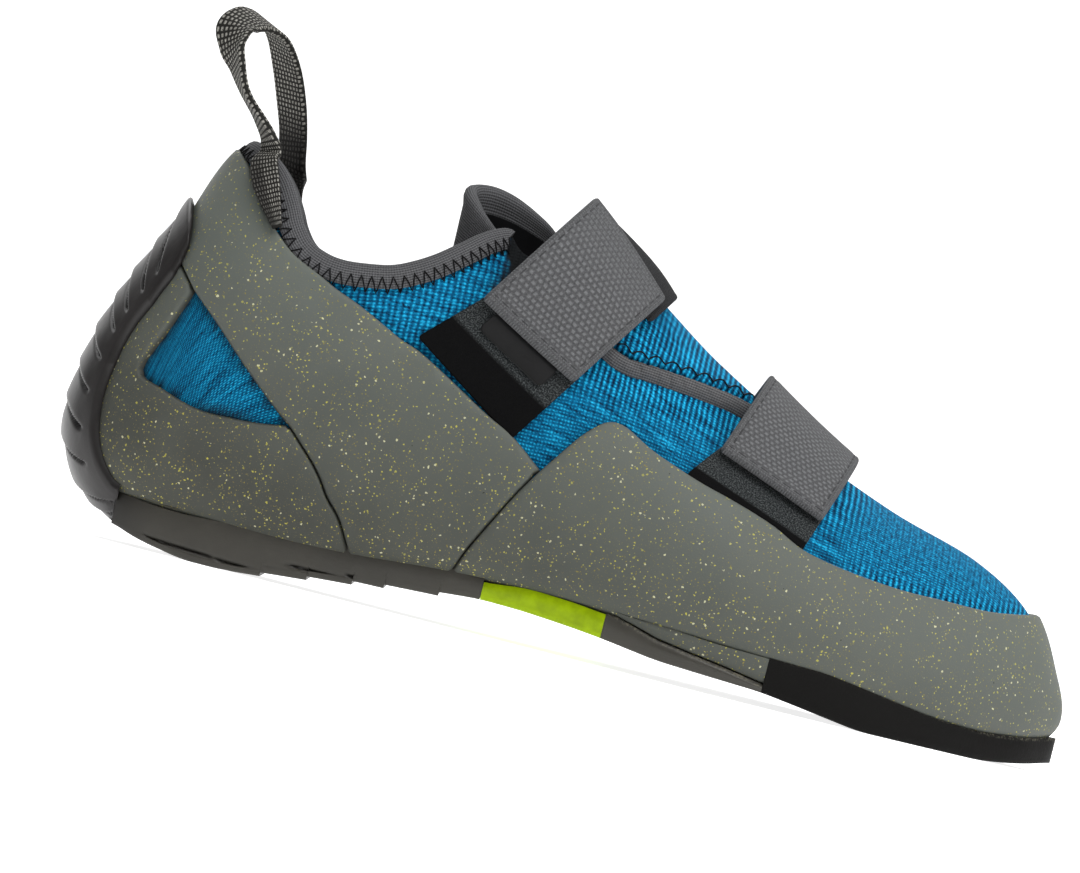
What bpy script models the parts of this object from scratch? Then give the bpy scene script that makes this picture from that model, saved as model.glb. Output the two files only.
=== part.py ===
# Climbing shoe for the right foot, modelled as its maker would lay it up on the last.
# +X runs from heel to toe, +Y to the big-toe side, +Z up. The shoe stands on the floor at Z = 0.

import math

import bmesh
import bpy
import numpy as np
from mathutils import Vector
from mathutils.bvhtree import BVHTree

for old in list(bpy.data.objects):
    bpy.data.objects.remove(old, do_unlink=True)

# Driving sizes of the last, in metres
LENGTH = 0.2587
HEEL_WIDTH = 0.062
BALL_WIDTH = 0.0885
HEEL_HEIGHT = 0.103
INSTEP_HEIGHT = 0.104
TOE_HEIGHT = 0.0388
SOLE_HEIGHT = 0.0100

# Thicknesses
UPPER_WALL = 0.0018
RAND_WALL = 0.0018
FLAP_WALL = 0.0017
INSOLE_THICKNESS = 0.0030
HEEL_RUBBER = 0.0036
HEEL_RIB = 0.0008
TREAD_STEP = 0.0009
WEBBING = 0.0020
HOOK_PATCH = 0.0010
BINDING_WALL = 0.0011
LABEL_THICKNESS = 0.0005
TONGUE_WALL = 0.0018
LOOP_THICKNESS = 0.0016

# Widths and heights of single pieces
STRAP_WIDTH = 0.0305
LOOP_WIDTH = 0.0115
LOOP_HEIGHT = 0.0335
COLLAR_BINDING_HEIGHT = 0.0050
FLAP_BINDING_WIDTH = 0.0046
RIB_PITCH = 0.0082
LASTING_MARGIN = 0.0120
SOLE_EDGE_BEVEL = 0.0014

# Clearances
FIT = 0.0003
SEAM = 0.00016
STRAP_CLEARANCE = 0.0005
BAND_REACH = 0.0060
PATCH_SPLAY = 0.0050
ROOT_SHIFT = 0.0032
LABEL_INSET = 0.0048
HEM_ROLL = 0.0006
FLAP_CROSSING = 0.0060
UPPER_ARCH = 0.0048
ROOT_ARCH = 0.0036
LOWER_ARCH = 0.0034

# How finely the last is divided
AROUND = 24
RING_ROWS = ((0.5, 5.0, 7), (5.8, 9.2, 5), (9.95, 15.5, 8))

# Sections of the last. x is a share of LENGTH. low, middle and high are the depth under the widest
# height, the widest height and the rise above it, as shares of the group's height. half, centre and
# ridge are the half width and the sideways places of the middle and of the crest, as shares of the
# group's width. The powers round the section above and below its widest height.
GROUP_HEIGHT = {"heel": HEEL_HEIGHT, "instep": INSTEP_HEIGHT, "toe": TOE_HEIGHT}
GROUP_WIDTH = {"heel": HEEL_WIDTH, "instep": BALL_WIDTH, "toe": BALL_WIDTH}
SECTION_COLUMNS = ("group", "x", "low", "middle", "high", "half", "centre", "ridge", "top_power", "foot_power")
SECTIONS = [
    ("heel", 0.0124, 0.000, 0.291, 0.000, 0.000, 0.000, 0.000, 1.90, 3.0),
    ("heel", 0.0213, 0.082, 0.291, 0.155, 0.182, 0.000, 0.000, 1.90, 3.0),
    ("heel", 0.0387, 0.144, 0.291, 0.298, 0.300, 0.000, 0.000, 1.90, 3.0),
    ("heel", 0.0657, 0.188, 0.291, 0.471, 0.397, 0.000, 0.000, 1.90, 3.0),
    ("heel", 0.0986, 0.207, 0.291, 0.684, 0.442, 0.000, 0.000, 2.00, 3.0),
    ("heel", 0.1546, 0.219, 0.291, 0.791, 0.458, -0.006, 0.000, 2.20, 3.0),
    ("heel", 0.2319, 0.194, 0.272, 0.820, 0.455, -0.019, 0.000, 2.30, 3.3),
    ("instep", 0.3092, 0.143, 0.245, 0.817, 0.315, -0.026, 0.011, 2.30, 3.8),
    ("instep", 0.4020, 0.104, 0.231, 0.769, 0.329, -0.046, 0.034, 2.20, 4.0),
    ("instep", 0.4948, 0.101, 0.226, 0.673, 0.376, -0.055, 0.056, 2.00, 4.0),
    ("instep", 0.5876, 0.099, 0.207, 0.546, 0.435, -0.042, 0.079, 1.95, 4.0),
    ("toe", 0.6881, 0.247, 0.490, 1.186, 0.470, -0.007, 0.102, 2.00, 4.0),
    ("toe", 0.7886, 0.253, 0.438, 0.972, 0.443, 0.043, 0.136, 2.10, 4.5),
    ("toe", 0.8813, 0.235, 0.397, 0.830, 0.348, 0.104, 0.169, 2.30, 5.0),
    ("toe", 0.9432, 0.198, 0.379, 0.601, 0.224, 0.156, 0.181, 2.30, 4.5),
    ("toe", 0.9760, 0.142, 0.369, 0.265, 0.113, 0.181, 0.181, 2.30, 3.5),
    ("toe", 0.9907, 0.000, 0.366, 0.000, 0.000, 0.181, 0.181, 2.20, 3.0),
]
POLE_ODD = ("low", "high", "half")


def section_column(name):
    """One column of the section table in metres, or as it stands for a power."""
    column = SECTION_COLUMNS.index(name)
    values = []
    for row in SECTIONS:
        scale = 1.0
        if name == "x":
            scale = LENGTH
        elif name in ("low", "middle", "high"):
            scale = GROUP_HEIGHT[row[0]]
        elif name in ("half", "centre", "ridge"):
            scale = GROUP_WIDTH[row[0]]
        values.append(row[column] * scale)
    sign = -1.0 if name in POLE_ODD else 1.0
    return [sign * values[1]] + values + [sign * values[-2]]


COLUMNS = {name: section_column(name) for name in SECTION_COLUMNS[1:]}
LAST_ROW = len(SECTIONS) - 1


def at_row(name, u):
    """A column between its rows, on a smooth curve through them."""
    u = min(max(u, 0.0), float(LAST_ROW))
    i = min(int(u), LAST_ROW - 1)
    t = u - i
    a, b, c, d = COLUMNS[name][i:i + 4]
    bend = 2 * a - 5 * b + 4 * c - d
    twist = 3 * b - a - 3 * c + d
    return b + 0.5 * t * (c - a + t * (bend + t * twist))


def row_at_x(x):
    """The place in the section table where the last reaches x."""
    low, high = 0.0, float(LAST_ROW)
    for _ in range(40):
        middle = 0.5 * (low + high)
        if at_row("x", middle) < x:
            low = middle
        else:
            high = middle
    return 0.5 * (low + high)


def last_point(u, angle):
    """A point of the bare last. Angle 0 is the big-toe side and a quarter turn is the crest."""
    up = math.sin(angle)
    out = math.cos(angle)
    power = at_row("top_power", u) if up >= 0 else at_row("foot_power", u)
    reach = (abs(up) ** power + abs(out) ** power) ** (-1.0 / power)
    rise = up * reach
    height = at_row("high", u) if up >= 0 else at_row("low", u)
    lean = max(rise, 0.0) ** 1.5 * (at_row("ridge", u) - at_row("centre", u))
    y = at_row("centre", u) + out * reach * at_row("half", u) + lean
    return Vector((at_row("x", u), y, at_row("middle", u) + rise * height))


def skin_point(u, angle, offset):
    """A point at this distance outside the last, or inside where the offset is negative."""
    if u <= 0.0 or u >= LAST_ROW:
        side = -1.0 if u <= 0.0 else 1.0
        return last_point(u, angle) + Vector((side * offset, 0, 0))
    step = 0.04
    along = last_point(min(u + step, LAST_ROW), angle) - last_point(max(u - step, 0.0), angle)
    across = last_point(u, angle + step) - last_point(u, angle - step)
    normal = across.cross(along)
    return last_point(u, angle) + normal.normalized() * offset


def spaced(start, end, count):
    return [start + (end - start) * k / (count - 1) for k in range(count)]


def make_object(name, points, faces):
    mesh = bpy.data.meshes.new(name)
    mesh.from_pydata([tuple(p) for p in points], [], faces)
    mesh.update()
    form = bmesh.new()
    form.from_mesh(mesh)
    bmesh.ops.recalc_face_normals(form, faces=form.faces)
    if form.calc_volume(signed=True) < 0:
        bmesh.ops.reverse_faces(form, faces=form.faces)
    form.to_mesh(mesh)
    form.free()
    piece = bpy.data.objects.new(name, mesh)
    bpy.context.scene.collection.objects.link(piece)
    return piece


def loft(name, rings):
    """A closed solid through rings of equal count, its two ends filled."""
    count = len(rings[0])
    points = [p for ring in rings for p in ring]
    faces = []
    for r in range(len(rings) - 1):
        for k in range(count):
            a = r * count + k
            b = r * count + (k + 1) % count
            faces.append((a, b, b + count, a + count))
    faces.append(tuple(reversed(range(count))))
    faces.append(tuple(range((len(rings) - 1) * count, len(rings) * count)))
    return make_object(name, points, faces)


def slab(name, outer, inner):
    """A closed solid between two grids of points of the same rows and columns."""
    rows = len(outer)
    columns = len(outer[0])
    points = [p for row in outer for p in row] + [p for row in inner for p in row]
    shift = rows * columns
    faces = []
    for r in range(rows - 1):
        for c in range(columns - 1):
            a = r * columns + c
            faces.append((a, a + 1, a + 1 + columns, a + columns))
            faces.append((a + shift + columns, a + shift + columns + 1, a + shift + 1, a + shift))
    edge = [(0, c) for c in range(columns)]
    edge += [(r, columns - 1) for r in range(1, rows)]
    edge += [(rows - 1, c) for c in range(columns - 2, -1, -1)]
    edge += [(r, 0) for r in range(rows - 2, 0, -1)]
    for k, (r, c) in enumerate(edge):
        s, d = edge[(k + 1) % len(edge)]
        a = r * columns + c
        b = s * columns + d
        faces.append((b, a, a + shift, b + shift))
    return make_object(name, points, faces)


def last_form(name, offset):
    """The whole last as one closed solid at this offset, with a point at heel and toe."""
    rings = []
    for start, end, count in RING_ROWS:
        for u in spaced(start, end, count):
            rings.append([skin_point(u, 2 * math.pi * k / AROUND, offset) for k in range(AROUND)])
    points = [p for ring in rings for p in ring]
    heel = len(points)
    points.append(skin_point(0, 0, offset))
    points.append(skin_point(LAST_ROW, 0, offset))
    faces = []
    for r in range(len(rings) - 1):
        for k in range(AROUND):
            a = r * AROUND + k
            b = r * AROUND + (k + 1) % AROUND
            faces.append((a, b, b + AROUND))
            faces.append((a, b + AROUND, a + AROUND))
    for k in range(AROUND):
        b = (k + 1) % AROUND
        faces.append((heel, b, k))
        top = (len(rings) - 1) * AROUND
        faces.append((heel + 1, top + k, top + b))
    return make_object(name, points, faces)


def combine(piece, other, operation, drop=True):
    """A Boolean whose result becomes the piece's own mesh."""
    modifier = piece.modifiers.new(operation, "BOOLEAN")
    modifier.operation = operation
    modifier.object = other
    modifier.solver = "EXACT"
    bpy.context.view_layer.update()
    graph = bpy.context.evaluated_depsgraph_get()
    shape = bpy.data.meshes.new_from_object(piece.evaluated_get(graph))
    piece.modifiers.clear()
    piece.data = shape
    shape.name = piece.name
    if drop:
        bpy.data.objects.remove(other, do_unlink=True)
    return piece


def cut(piece, cutter, drop=True):
    return combine(piece, cutter, "DIFFERENCE", drop)


def keep_inside(piece, cutter, drop=True):
    return combine(piece, cutter, "INTERSECT", drop)


def smooth_line(points, pieces=3):
    """A curve through the points, with this many stretches between each two."""
    spread = [Vector(p) for p in points]
    ends = [2 * spread[0] - spread[1]] + spread + [2 * spread[-1] - spread[-2]]
    line = []
    for i in range(len(spread) - 1):
        a, b, c, d = ends[i:i + 4]
        for k in range(pieces):
            t = k / pieces
            line.append(b + 0.5 * t * (c - a + t * (2 * a - 5 * b + 4 * c - d + t * (3 * b - a - 3 * c + d))))
    return line + [spread[-1]]


def side_prism(name, outline, y_from, y_to):
    """A prism across the shoe whose outline is drawn in the side view."""
    rings = [[Vector((x, y, z)) for x, z in outline] for y in (y_from, y_to)]
    return loft(name, rings)


def hull_of_last(offset):
    """What rays are cast against: the last at this offset."""
    form = last_form("guide", offset)
    tree = BVHTree.FromPolygons([v.co for v in form.data.vertices],
                                [p.vertices for p in form.data.polygons])
    bpy.data.objects.remove(form, do_unlink=True)
    return tree


def cast(tree, origin, direction):
    place, _, _, _ = tree.ray_cast(origin, direction)
    return (place - origin).length


HEEL_ZONE = (0.13, 0.26)


def side(points):
    """Side-view places. x is a share of LENGTH, and z of HEEL_HEIGHT behind and INSTEP_HEIGHT ahead."""
    places = []
    for x, z in points:
        ahead = min(max((x - HEEL_ZONE[0]) / (HEEL_ZONE[1] - HEEL_ZONE[0]), 0.0), 1.0)
        places.append(Vector((x * LENGTH, z * (HEEL_HEIGHT + (INSTEP_HEIGHT - HEEL_HEIGHT) * ahead))))
    return places


def moved(line, dx, dz):
    return [Vector((p[0] + dx, p[1] + dz)) for p in line]


# Colours of the parts: red, green, blue, roughness
FINISHES = {
    "knit": (0.010, 0.220, 0.540, 0.85),
    "rand_rubber": (0.145, 0.160, 0.130, 0.80),
    "black_rubber": (0.013, 0.011, 0.011, 0.45),
    "grey_rubber": (0.065, 0.058, 0.050, 0.50),
    "lime_rubber": (0.260, 0.420, 0.005, 0.35),
    "webbing": (0.125, 0.125, 0.130, 0.90),
    "hook": (0.020, 0.020, 0.021, 0.95),
    "binding": (0.130, 0.130, 0.138, 0.90),
    "loop_webbing": (0.050, 0.048, 0.042, 0.90),
    "satin": (0.010, 0.010, 0.011, 0.50),
    "footbed": (0.060, 0.060, 0.060, 0.95),
}


def finish(piece, look):
    material = bpy.data.materials.new(piece.name)
    material.use_nodes = True
    shader = material.node_tree.nodes["Principled BSDF"]
    red, green, blue, rough = FINISHES[look]
    shader.inputs["Base Color"].default_value = (red, green, blue, 1)
    shader.inputs["Roughness"].default_value = rough
    shader.inputs["Metallic"].default_value = 0.0
    material.diffuse_color = (red, green, blue, 1)
    piece.data.materials.clear()
    piece.data.materials.append(material)
    piece.data.shade_smooth()
    piece.data.set_sharp_from_angle(angle=math.radians(35))
    return piece


# Lines of the side view. Heights change from shares of HEEL_HEIGHT to shares of INSTEP_HEIGHT
# over this stretch of LENGTH.
COLLAR_LINE = side([(0.060, 1.0097), (0.104, 1.0097), (0.126, 0.9915), (0.148, 0.9428), (0.1625, 0.8864),
                    (0.172, 0.8405), (0.185, 0.8014), (0.203, 0.7803), (0.222, 0.7732), (0.245, 0.7779),
                    (0.268, 0.7890), (0.288, 0.8120), (0.307, 0.8420), (0.327, 0.8820), (0.347, 0.9220),
                    (0.367, 0.9420), (0.378, 0.9150), (0.392, 0.9000), (0.410, 0.9350), (0.432, 1.0300), (0.450, 1.1200)])
RAND_TOP_REAR = side([(0.075, 1.0057), (0.097, 1.0016), (0.102, 0.9794), (0.116, 0.9380), (0.127, 0.8916),
                      (0.139, 0.8476), (0.149, 0.8228), (0.173, 0.7720), (0.201, 0.7382), (0.221, 0.7131),
                      (0.250, 0.6835), (0.290, 0.6360), (0.312, 0.6170), (0.346, 0.5710), (0.388, 0.5120),
                      (0.417, 0.4770), (0.4515, 0.4130)])
RAND_TOP_FRONT = side([(0.4515, 0.413), (0.4685, 0.474), (0.486, 0.529), (0.503, 0.5615), (0.521, 0.558),
                       (0.551, 0.519), (0.596, 0.479), (0.636, 0.452), (0.678, 0.416), (0.7105, 0.378),
                       (0.755, 0.356), (0.808, 0.343), (0.8535, 0.343), (0.899, 0.344), (0.9455, 0.360)])
FRONT_SEAM = side([(0.4515, 0.413), (0.435, 0.345), (0.4155, 0.253), (0.396, 0.158), (0.375, 0.050)])
HEEL_SEAM_TOP = side([(-0.030, 0.7724), (0.0755, 0.6795), (0.0912, 0.6280)])
HEEL_SEAM_LOW = side([(0.2087, 0.3724), (0.243, 0.2889), (0.261, 0.2280), (0.2806, 0.1750), (0.310, 0.0500)])
WINDOW_FRONT = side([(0.0912, 0.6280), (0.122, 0.5604), (0.155, 0.4827), (0.193, 0.4010), (0.2087, 0.3724)])
WINDOW_BACK = side([(0.0912, 0.6280), (0.076, 0.5250), (0.0603, 0.4165), (0.0835, 0.3857), (0.120, 0.3595),
                    (0.156, 0.3578), (0.183, 0.3621), (0.2087, 0.3724)])
COLLAR_BINDING_END = 0.370
FLAP_LINE = side([(0.402, 0.905), (0.422, 0.850), (0.455, 0.795), (0.4955, 0.727), (0.537, 0.7135),
                  (0.5815, 0.702), (0.624, 0.683), (0.675, 0.635), (0.725, 0.560)])
FLAP_FRONT = 0.7235
FLAP_REAR = side([(0.465, 1.100), (0.433, 1.000), (0.405, 0.880), (0.370, 0.740), (0.335, 0.600)])

# The sole from the side: x as a share of LENGTH, floor height and rim height in shares of SOLE_HEIGHT,
# and how far the sole stays inside the rands, as a share of BALL_WIDTH
SOLE_COLUMNS = ("x", "under", "rim", "inset")
SOLE_ROWS = [
    (0.064, 0.484, 1.339, 0.0640),
    (0.094, 0.216, 1.231, 0.0640),
    (0.115, 0.124, 1.184, 0.0640),
    (0.140, 0.000, 1.195, 0.0640),
    (0.183, 0.000, 1.257, 0.0640),
    (0.216, 0.165, 1.360, 0.0630),
    (0.260, 0.350, 1.442, 0.0620),
    (0.303, 0.515, 1.452, 0.0600),
    (0.334, 0.628, 1.483, 0.0580),
    (0.386, 0.783, 1.524, 0.0560),
    (0.425, 0.865, 1.493, 0.0520),
    (0.467, 0.845, 1.627, 0.0450),
    (0.512, 0.762, 1.576, 0.0400),
    (0.545, 0.680, 1.483, 0.0340),
    (0.600, 0.484, 1.442, 0.0230),
    (0.650, 0.422, 1.339, 0.0160),
    (0.705, 0.360, 1.308, 0.0110),
    (0.760, 0.165, 1.287, 0.0080),
    (0.804, 0.000, 1.123, 0.0100),
    (0.870, 0.000, 0.839, 0.0170),
    (0.930, 0.000, 0.721, 0.0150),
    (0.965, 0.124, 0.793, 0.0080),
    (0.990, 0.268, 0.937, 0.0040),
    (1.000, 0.350, 0.968, 0.0030),
]
HEEL_END = 0.0663
INSERT_REAR = 0.4252
INSERT_FRONT = 0.5450
WAIST_FRONT = 0.7050
STRIP_LINE = [(0.545, 1.370), (0.596, 0.989), (0.630, 0.855), (0.662, 0.742), (0.705, 0.556)]
TREAD_STEPS = (0.1835, 0.2165, 0.2605, 0.3035, 0.3340, 0.3860)


def sole_value(name, x):
    column = SOLE_COLUMNS.index(name)
    places = [row[0] * LENGTH for row in SOLE_ROWS]
    scale = BALL_WIDTH if name == "inset" else SOLE_HEIGHT
    return float(np.interp(x, places, [row[column] * scale for row in SOLE_ROWS]))


def plan_outline(side_sign):
    """The widest outline of the last on one side, pushed out past the rand: x and y rows."""
    rows = [LAST_ROW * k / 160 for k in range(161)]
    spots = []
    for u in rows:
        y = at_row("centre", u) + side_sign * at_row("half", u)
        spots.append(np.array((at_row("x", u), y)))
    pushed = []
    for k, spot in enumerate(spots):
        run = spots[min(k + 1, 160)] - spots[max(k - 1, 0)]
        if k in (0, 160):
            run = np.array((0.0, side_sign * (1.0 if k == 0 else -1.0)))
        out = np.array((-run[1], run[0])) * side_sign
        out = out / max(np.linalg.norm(out), 1e-9)
        inset = sole_value("inset", spot[0])
        pushed.append(spot + out * (FIT + RAND_WALL + FIT - inset))
    xs = np.maximum.accumulate(np.array([p[0] for p in pushed]))
    return xs, np.array([p[1] for p in pushed])


OUTLINES = {sign: plan_outline(sign) for sign in (-1, 1)}
TOE_TIP = float(OUTLINES[1][0][-1])


def outline_y(sign, x):
    xs, ys = OUTLINES[sign]
    return float(np.interp(x, xs, ys))


def sole_under(x):
    """Height of the tread's underside, with the scales that step up behind each edge."""
    share = x / LENGTH
    drop = 0.0
    for rear, front in zip(TREAD_STEPS[:-1], TREAD_STEPS[1:]):
        if rear < share <= front:
            drop = TREAD_STEP * (share - rear) / (front - rear)
    return sole_value("under", x) - drop


def sole_ring(x, under, rim):
    """One section of the sole: rim, rounded lower edge and flat underside."""
    left = outline_y(-1, x)
    right = outline_y(1, x)
    bevel = min(SOLE_EDGE_BEVEL, 0.3 * (right - left), 0.4 * (rim - under))
    shape = [(left, rim), (left, under + bevel), (left + bevel, under)]
    for k in (1, 2):
        shape.append((left + bevel + (right - left - 2 * bevel) * k / 3, under))
    shape += [(right - bevel, under), (right, under + bevel), (right, rim)]
    for k in (2, 1):
        shape.append((left + (right - left) * k / 3, rim))
    return [Vector((x, y, z)) for y, z in shape]


def sole_piece(name, stations, under_of, rim_of, cup):
    """A piece of the sole between two stations, hollowed where the lasted upper sits in it."""
    rings = [sole_ring(x, under_of(x), rim_of(x)) for x in stations]
    return cut(loft(name, rings), cup, drop=False)


def strip_height(x):
    return float(np.interp(x, [p[0] * LENGTH for p in STRIP_LINE], [p[1] * SOLE_HEIGHT for p in STRIP_LINE]))


def sole_rim(x):
    return sole_value("rim", x)


def build_soles():
    cup = last_form("cup", FIT + RAND_WALL + FIT)
    step = SEAM
    rear = spaced(HEEL_END * LENGTH, 0.140 * LENGTH, 4) + [0.178 * LENGTH]
    for share in TREAD_STEPS:
        rear += [share * LENGTH - step, share * LENGTH + step]
    rear.append(INSERT_REAR * LENGTH - SEAM)
    rear_sole = sole_piece("rear_sole", rear, sole_under, sole_rim, cup)
    insert_x = spaced(INSERT_REAR * LENGTH + SEAM, INSERT_FRONT * LENGTH - SEAM, 5)
    arch_insert = sole_piece("arch_insert", insert_x, sole_under, sole_rim, cup)
    waist_x = spaced(INSERT_FRONT * LENGTH + SEAM, WAIST_FRONT * LENGTH - SEAM, 6)
    waist_sole = sole_piece("waist_sole", waist_x, sole_under, strip_height, cup)
    waist_strip = sole_piece("waist_strip", waist_x, lambda x: strip_height(x) + FIT, sole_rim, cup)
    front_x = spaced(WAIST_FRONT * LENGTH + SEAM, 0.925 * LENGTH, 7)
    reach = TOE_TIP - 0.925 * LENGTH
    front_x += [TOE_TIP - reach * (1 - math.sin(0.5 * math.pi * k / 7)) for k in range(1, 7)]
    front_x.append(TOE_TIP - 0.5 * SEAM)
    front_sole = sole_piece("front_sole", front_x, sole_under, sole_rim, cup)
    bpy.data.objects.remove(cup, do_unlink=True)
    finish(rear_sole, "grey_rubber")
    finish(arch_insert, "lime_rubber")
    finish(waist_sole, "grey_rubber")
    finish(waist_strip, "rand_rubber")
    finish(front_sole, "black_rubber")


def foot_opening():
    """What is open under the foot, inside the lasting margin."""
    rings = []
    for x in spaced(0.075 * LENGTH, 0.925 * LENGTH, 14):
        u = row_at_x(x)
        half = at_row("half", u) - LASTING_MARGIN
        top = at_row("middle", u) - at_row("low", u) + UPPER_WALL + 0.5 * INSOLE_THICKNESS
        centre = at_row("centre", u)
        deep = -0.5 * HEEL_HEIGHT
        shape = [(centre - half, deep), (centre + half, deep), (centre + half, top), (centre - half, top)]
        rings.append([Vector((x, y, z)) for y, z in shape])
    return loft("foot_opening", rings)


def collar_cutter():
    line = smooth_line(COLLAR_LINE, 2)
    high = 2.0 * INSTEP_HEIGHT
    rear = -0.2 * LENGTH
    outline = [Vector((rear, high)), Vector((rear, line[0][1]))] + line + [Vector((line[-1][0], high))]
    return side_prism("collar_cutter", outline, -BALL_WIDTH, BALL_WIDTH)


def build_upper():
    upper = last_form("upper", 0.0)
    cut(upper, last_form("room", -UPPER_WALL))
    cut(upper, collar_cutter())
    cut(upper, foot_opening())
    return finish(upper, "knit")


def build_insole():
    insole = last_form("insole", -UPPER_WALL - FIT)
    top = []
    for x in spaced(0.03 * LENGTH, 0.975 * LENGTH, 16):
        u = row_at_x(x)
        top.append(Vector((x, at_row("middle", u) - at_row("low", u) + UPPER_WALL + FIT + INSOLE_THICKNESS)))
    outline = [Vector((top[0][0], -0.5 * HEEL_HEIGHT))] + top + [Vector((top[-1][0], -0.5 * HEEL_HEIGHT))]
    keep_inside(insole, side_prism("insole_top", outline, -BALL_WIDTH, BALL_WIDTH))
    return finish(insole, "footbed")


def overlay(name, outlines, thickness, lift=FIT):
    """A skin of the upper's own form, kept where it lies inside the prisms."""
    skin = last_form(name, lift + thickness)
    cut(skin, last_form("under_" + name, lift))
    cut(skin, foot_opening())
    prisms = [side_prism("edge", outline, low, high) for outline, low, high in outlines]
    for other in prisms[1:]:
        combine(prisms[0], other, "UNION")
    return keep_inside(skin, prisms[0])


def rand_zone(lift=FIT):
    """Everything below the rands' top edges, raised by a clearance."""
    top = smooth_line(RAND_TOP_REAR, 2)[:-1] + smooth_line(RAND_TOP_FRONT, 2)
    rear = -0.2 * LENGTH
    far = 1.05 * LENGTH
    outline = [Vector((rear, -HEEL_HEIGHT)), Vector((far, -HEEL_HEIGHT)), Vector((far, top[-1][1] + lift))]
    outline += [*reversed(moved(top, 0, lift)), Vector((rear, top[0][1] + lift))]
    return side_prism("rand_zone", outline, -BALL_WIDTH, BALL_WIDTH)


def build_rands():
    deep = -0.2 * HEEL_HEIGHT
    full = (-BALL_WIDTH, BALL_WIDTH)
    far = 1.05 * LENGTH
    seam = moved(FRONT_SEAM, SEAM, 0)
    front = [*moved(smooth_line(RAND_TOP_FRONT, 2), SEAM, 0), Vector((far, RAND_TOP_FRONT[-1][1] + SEAM)),
             Vector((far, deep)), Vector((seam[-1][0], deep)), *reversed(seam[1:])]
    front_rand = overlay("front_rand", [(front, *full)], RAND_WALL)
    top = moved(smooth_line(RAND_TOP_REAR, 2), -SEAM, 0)
    front_edge = moved(FRONT_SEAM, -SEAM, 0)
    low_seam = moved(HEEL_SEAM_LOW, SEAM, SEAM)
    high_seam = moved(HEEL_SEAM_TOP, SEAM, SEAM)
    sling = [Vector((high_seam[0][0], top[0][1])), *top, *front_edge[1:], Vector((front_edge[-1][0], deep)),
             Vector((low_seam[-1][0], deep)), *reversed(low_seam), *reversed(WINDOW_FRONT[1:-1]),
             *reversed(high_seam)]
    slingshot_rand = overlay("slingshot_rand", [(sling, *full)], RAND_WALL)
    low_seam = moved(HEEL_SEAM_LOW, -SEAM, -SEAM)
    high_seam = moved(HEEL_SEAM_TOP, -SEAM, -SEAM)
    window = smooth_line(WINDOW_BACK[:3], 2)[1:-1] + smooth_line(WINDOW_BACK[2:], 2)[:-1]
    heel = [*high_seam, *window, *low_seam, Vector((low_seam[-1][0], deep)), Vector((high_seam[0][0], deep))]
    heel_rand = overlay("heel_rand", [(heel, *full)], RAND_WALL)
    for piece in (front_rand, slingshot_rand, heel_rand):
        finish(piece, "rand_rubber")


# The heel rubber, fanned out from a point inside the heel. angle is the rise of the ray in degrees
# and spread how far the rubber reaches to each side.
HEEL_HUB = (0.116, 0.437)
HEEL_REACH = 0.335
HEEL_FAN = [(74.3, 5), (73.0, 19), (71.0, 29), (63.0, 38), (41.0, 42), (-6.0, 41), (-37.0, 36), (-49.0, 35),
            (-64.0, 34), (-80.0, 36)]


def build_heel_cup():
    tree = hull_of_last(FIT + RAND_WALL + FIT)
    hub = Vector((HEEL_HUB[0] * LENGTH, 0, HEEL_HUB[1] * HEEL_HEIGHT))
    angles = [row[0] for row in HEEL_FAN][::-1]
    spreads = [row[1] for row in HEEL_FAN][::-1]
    mean_reach = HEEL_REACH * HEEL_HEIGHT
    pitch = math.degrees(RIB_PITCH / mean_reach)
    rows = [(HEEL_FAN[0][0], 0.0), (HEEL_FAN[1][0], 0.1), (HEEL_FAN[2][0], 0.2)]
    angle = HEEL_FAN[2][0] - 0.3 * pitch
    while angle > HEEL_FAN[-1][0]:
        rows.append((angle, 1.0))
        rows.append((angle - 0.6, 0.0))
        angle -= pitch
    rows = [row for row in rows if row[0] > HEEL_FAN[-1][0]]
    outer = []
    inner = []
    for angle, rib in rows:
        spread = float(np.interp(angle, angles, spreads))
        away = Vector((-math.cos(math.radians(angle)), 0, math.sin(math.radians(angle))))
        top = []
        bottom = []
        for k in range(-3, 4):
            share = k / 3
            turn = math.radians(spread * share)
            way = away * math.cos(turn) + Vector((0, math.sin(turn), 0))
            reach = cast(tree, hub, way)
            edge = 1 - 0.45 * share ** 4
            raised = HEEL_RIB * rib * max(0.0, 1 - abs(share) ** 3 * 1.6)
            bottom.append(hub + way * (reach - RAND_WALL))
            top.append(hub + way * (reach + (HEEL_RUBBER - HEEL_RIB) * edge + raised))
        outer.append(top)
        inner.append(bottom)
    cup = slab("heel_cup", outer, inner)
    cut(cup, last_form("under_cup", FIT + RAND_WALL + FIT))
    wall = HEEL_END * LENGTH - 2 * SEAM
    upper_wall = wall + 0.023 * LENGTH
    limit = [Vector((-LENGTH, HEEL_HEIGHT)), Vector((upper_wall, HEEL_HEIGHT)),
             Vector((upper_wall, 0.3 * HEEL_HEIGHT)), Vector((wall, 0.25 * HEEL_HEIGHT)),
             Vector((wall, -HEEL_HEIGHT)), Vector((-LENGTH, -HEEL_HEIGHT))]
    keep_inside(cup, side_prism("heel_limit", limit, -BALL_WIDTH, BALL_WIDTH))
    return finish(cup, "black_rubber")


# Bands that cross the instep. The width runs along a line of the side view at this slope.
def band_frame(plan):
    slope = math.radians(plan["slope"])
    width = Vector((math.cos(slope), 0, -math.sin(slope)))
    rise = Vector((math.sin(slope), 0, math.cos(slope)))
    return width, rise, rise * plan["hub"] * LENGTH, plan["hub_y"] * BALL_WIDTH


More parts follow.
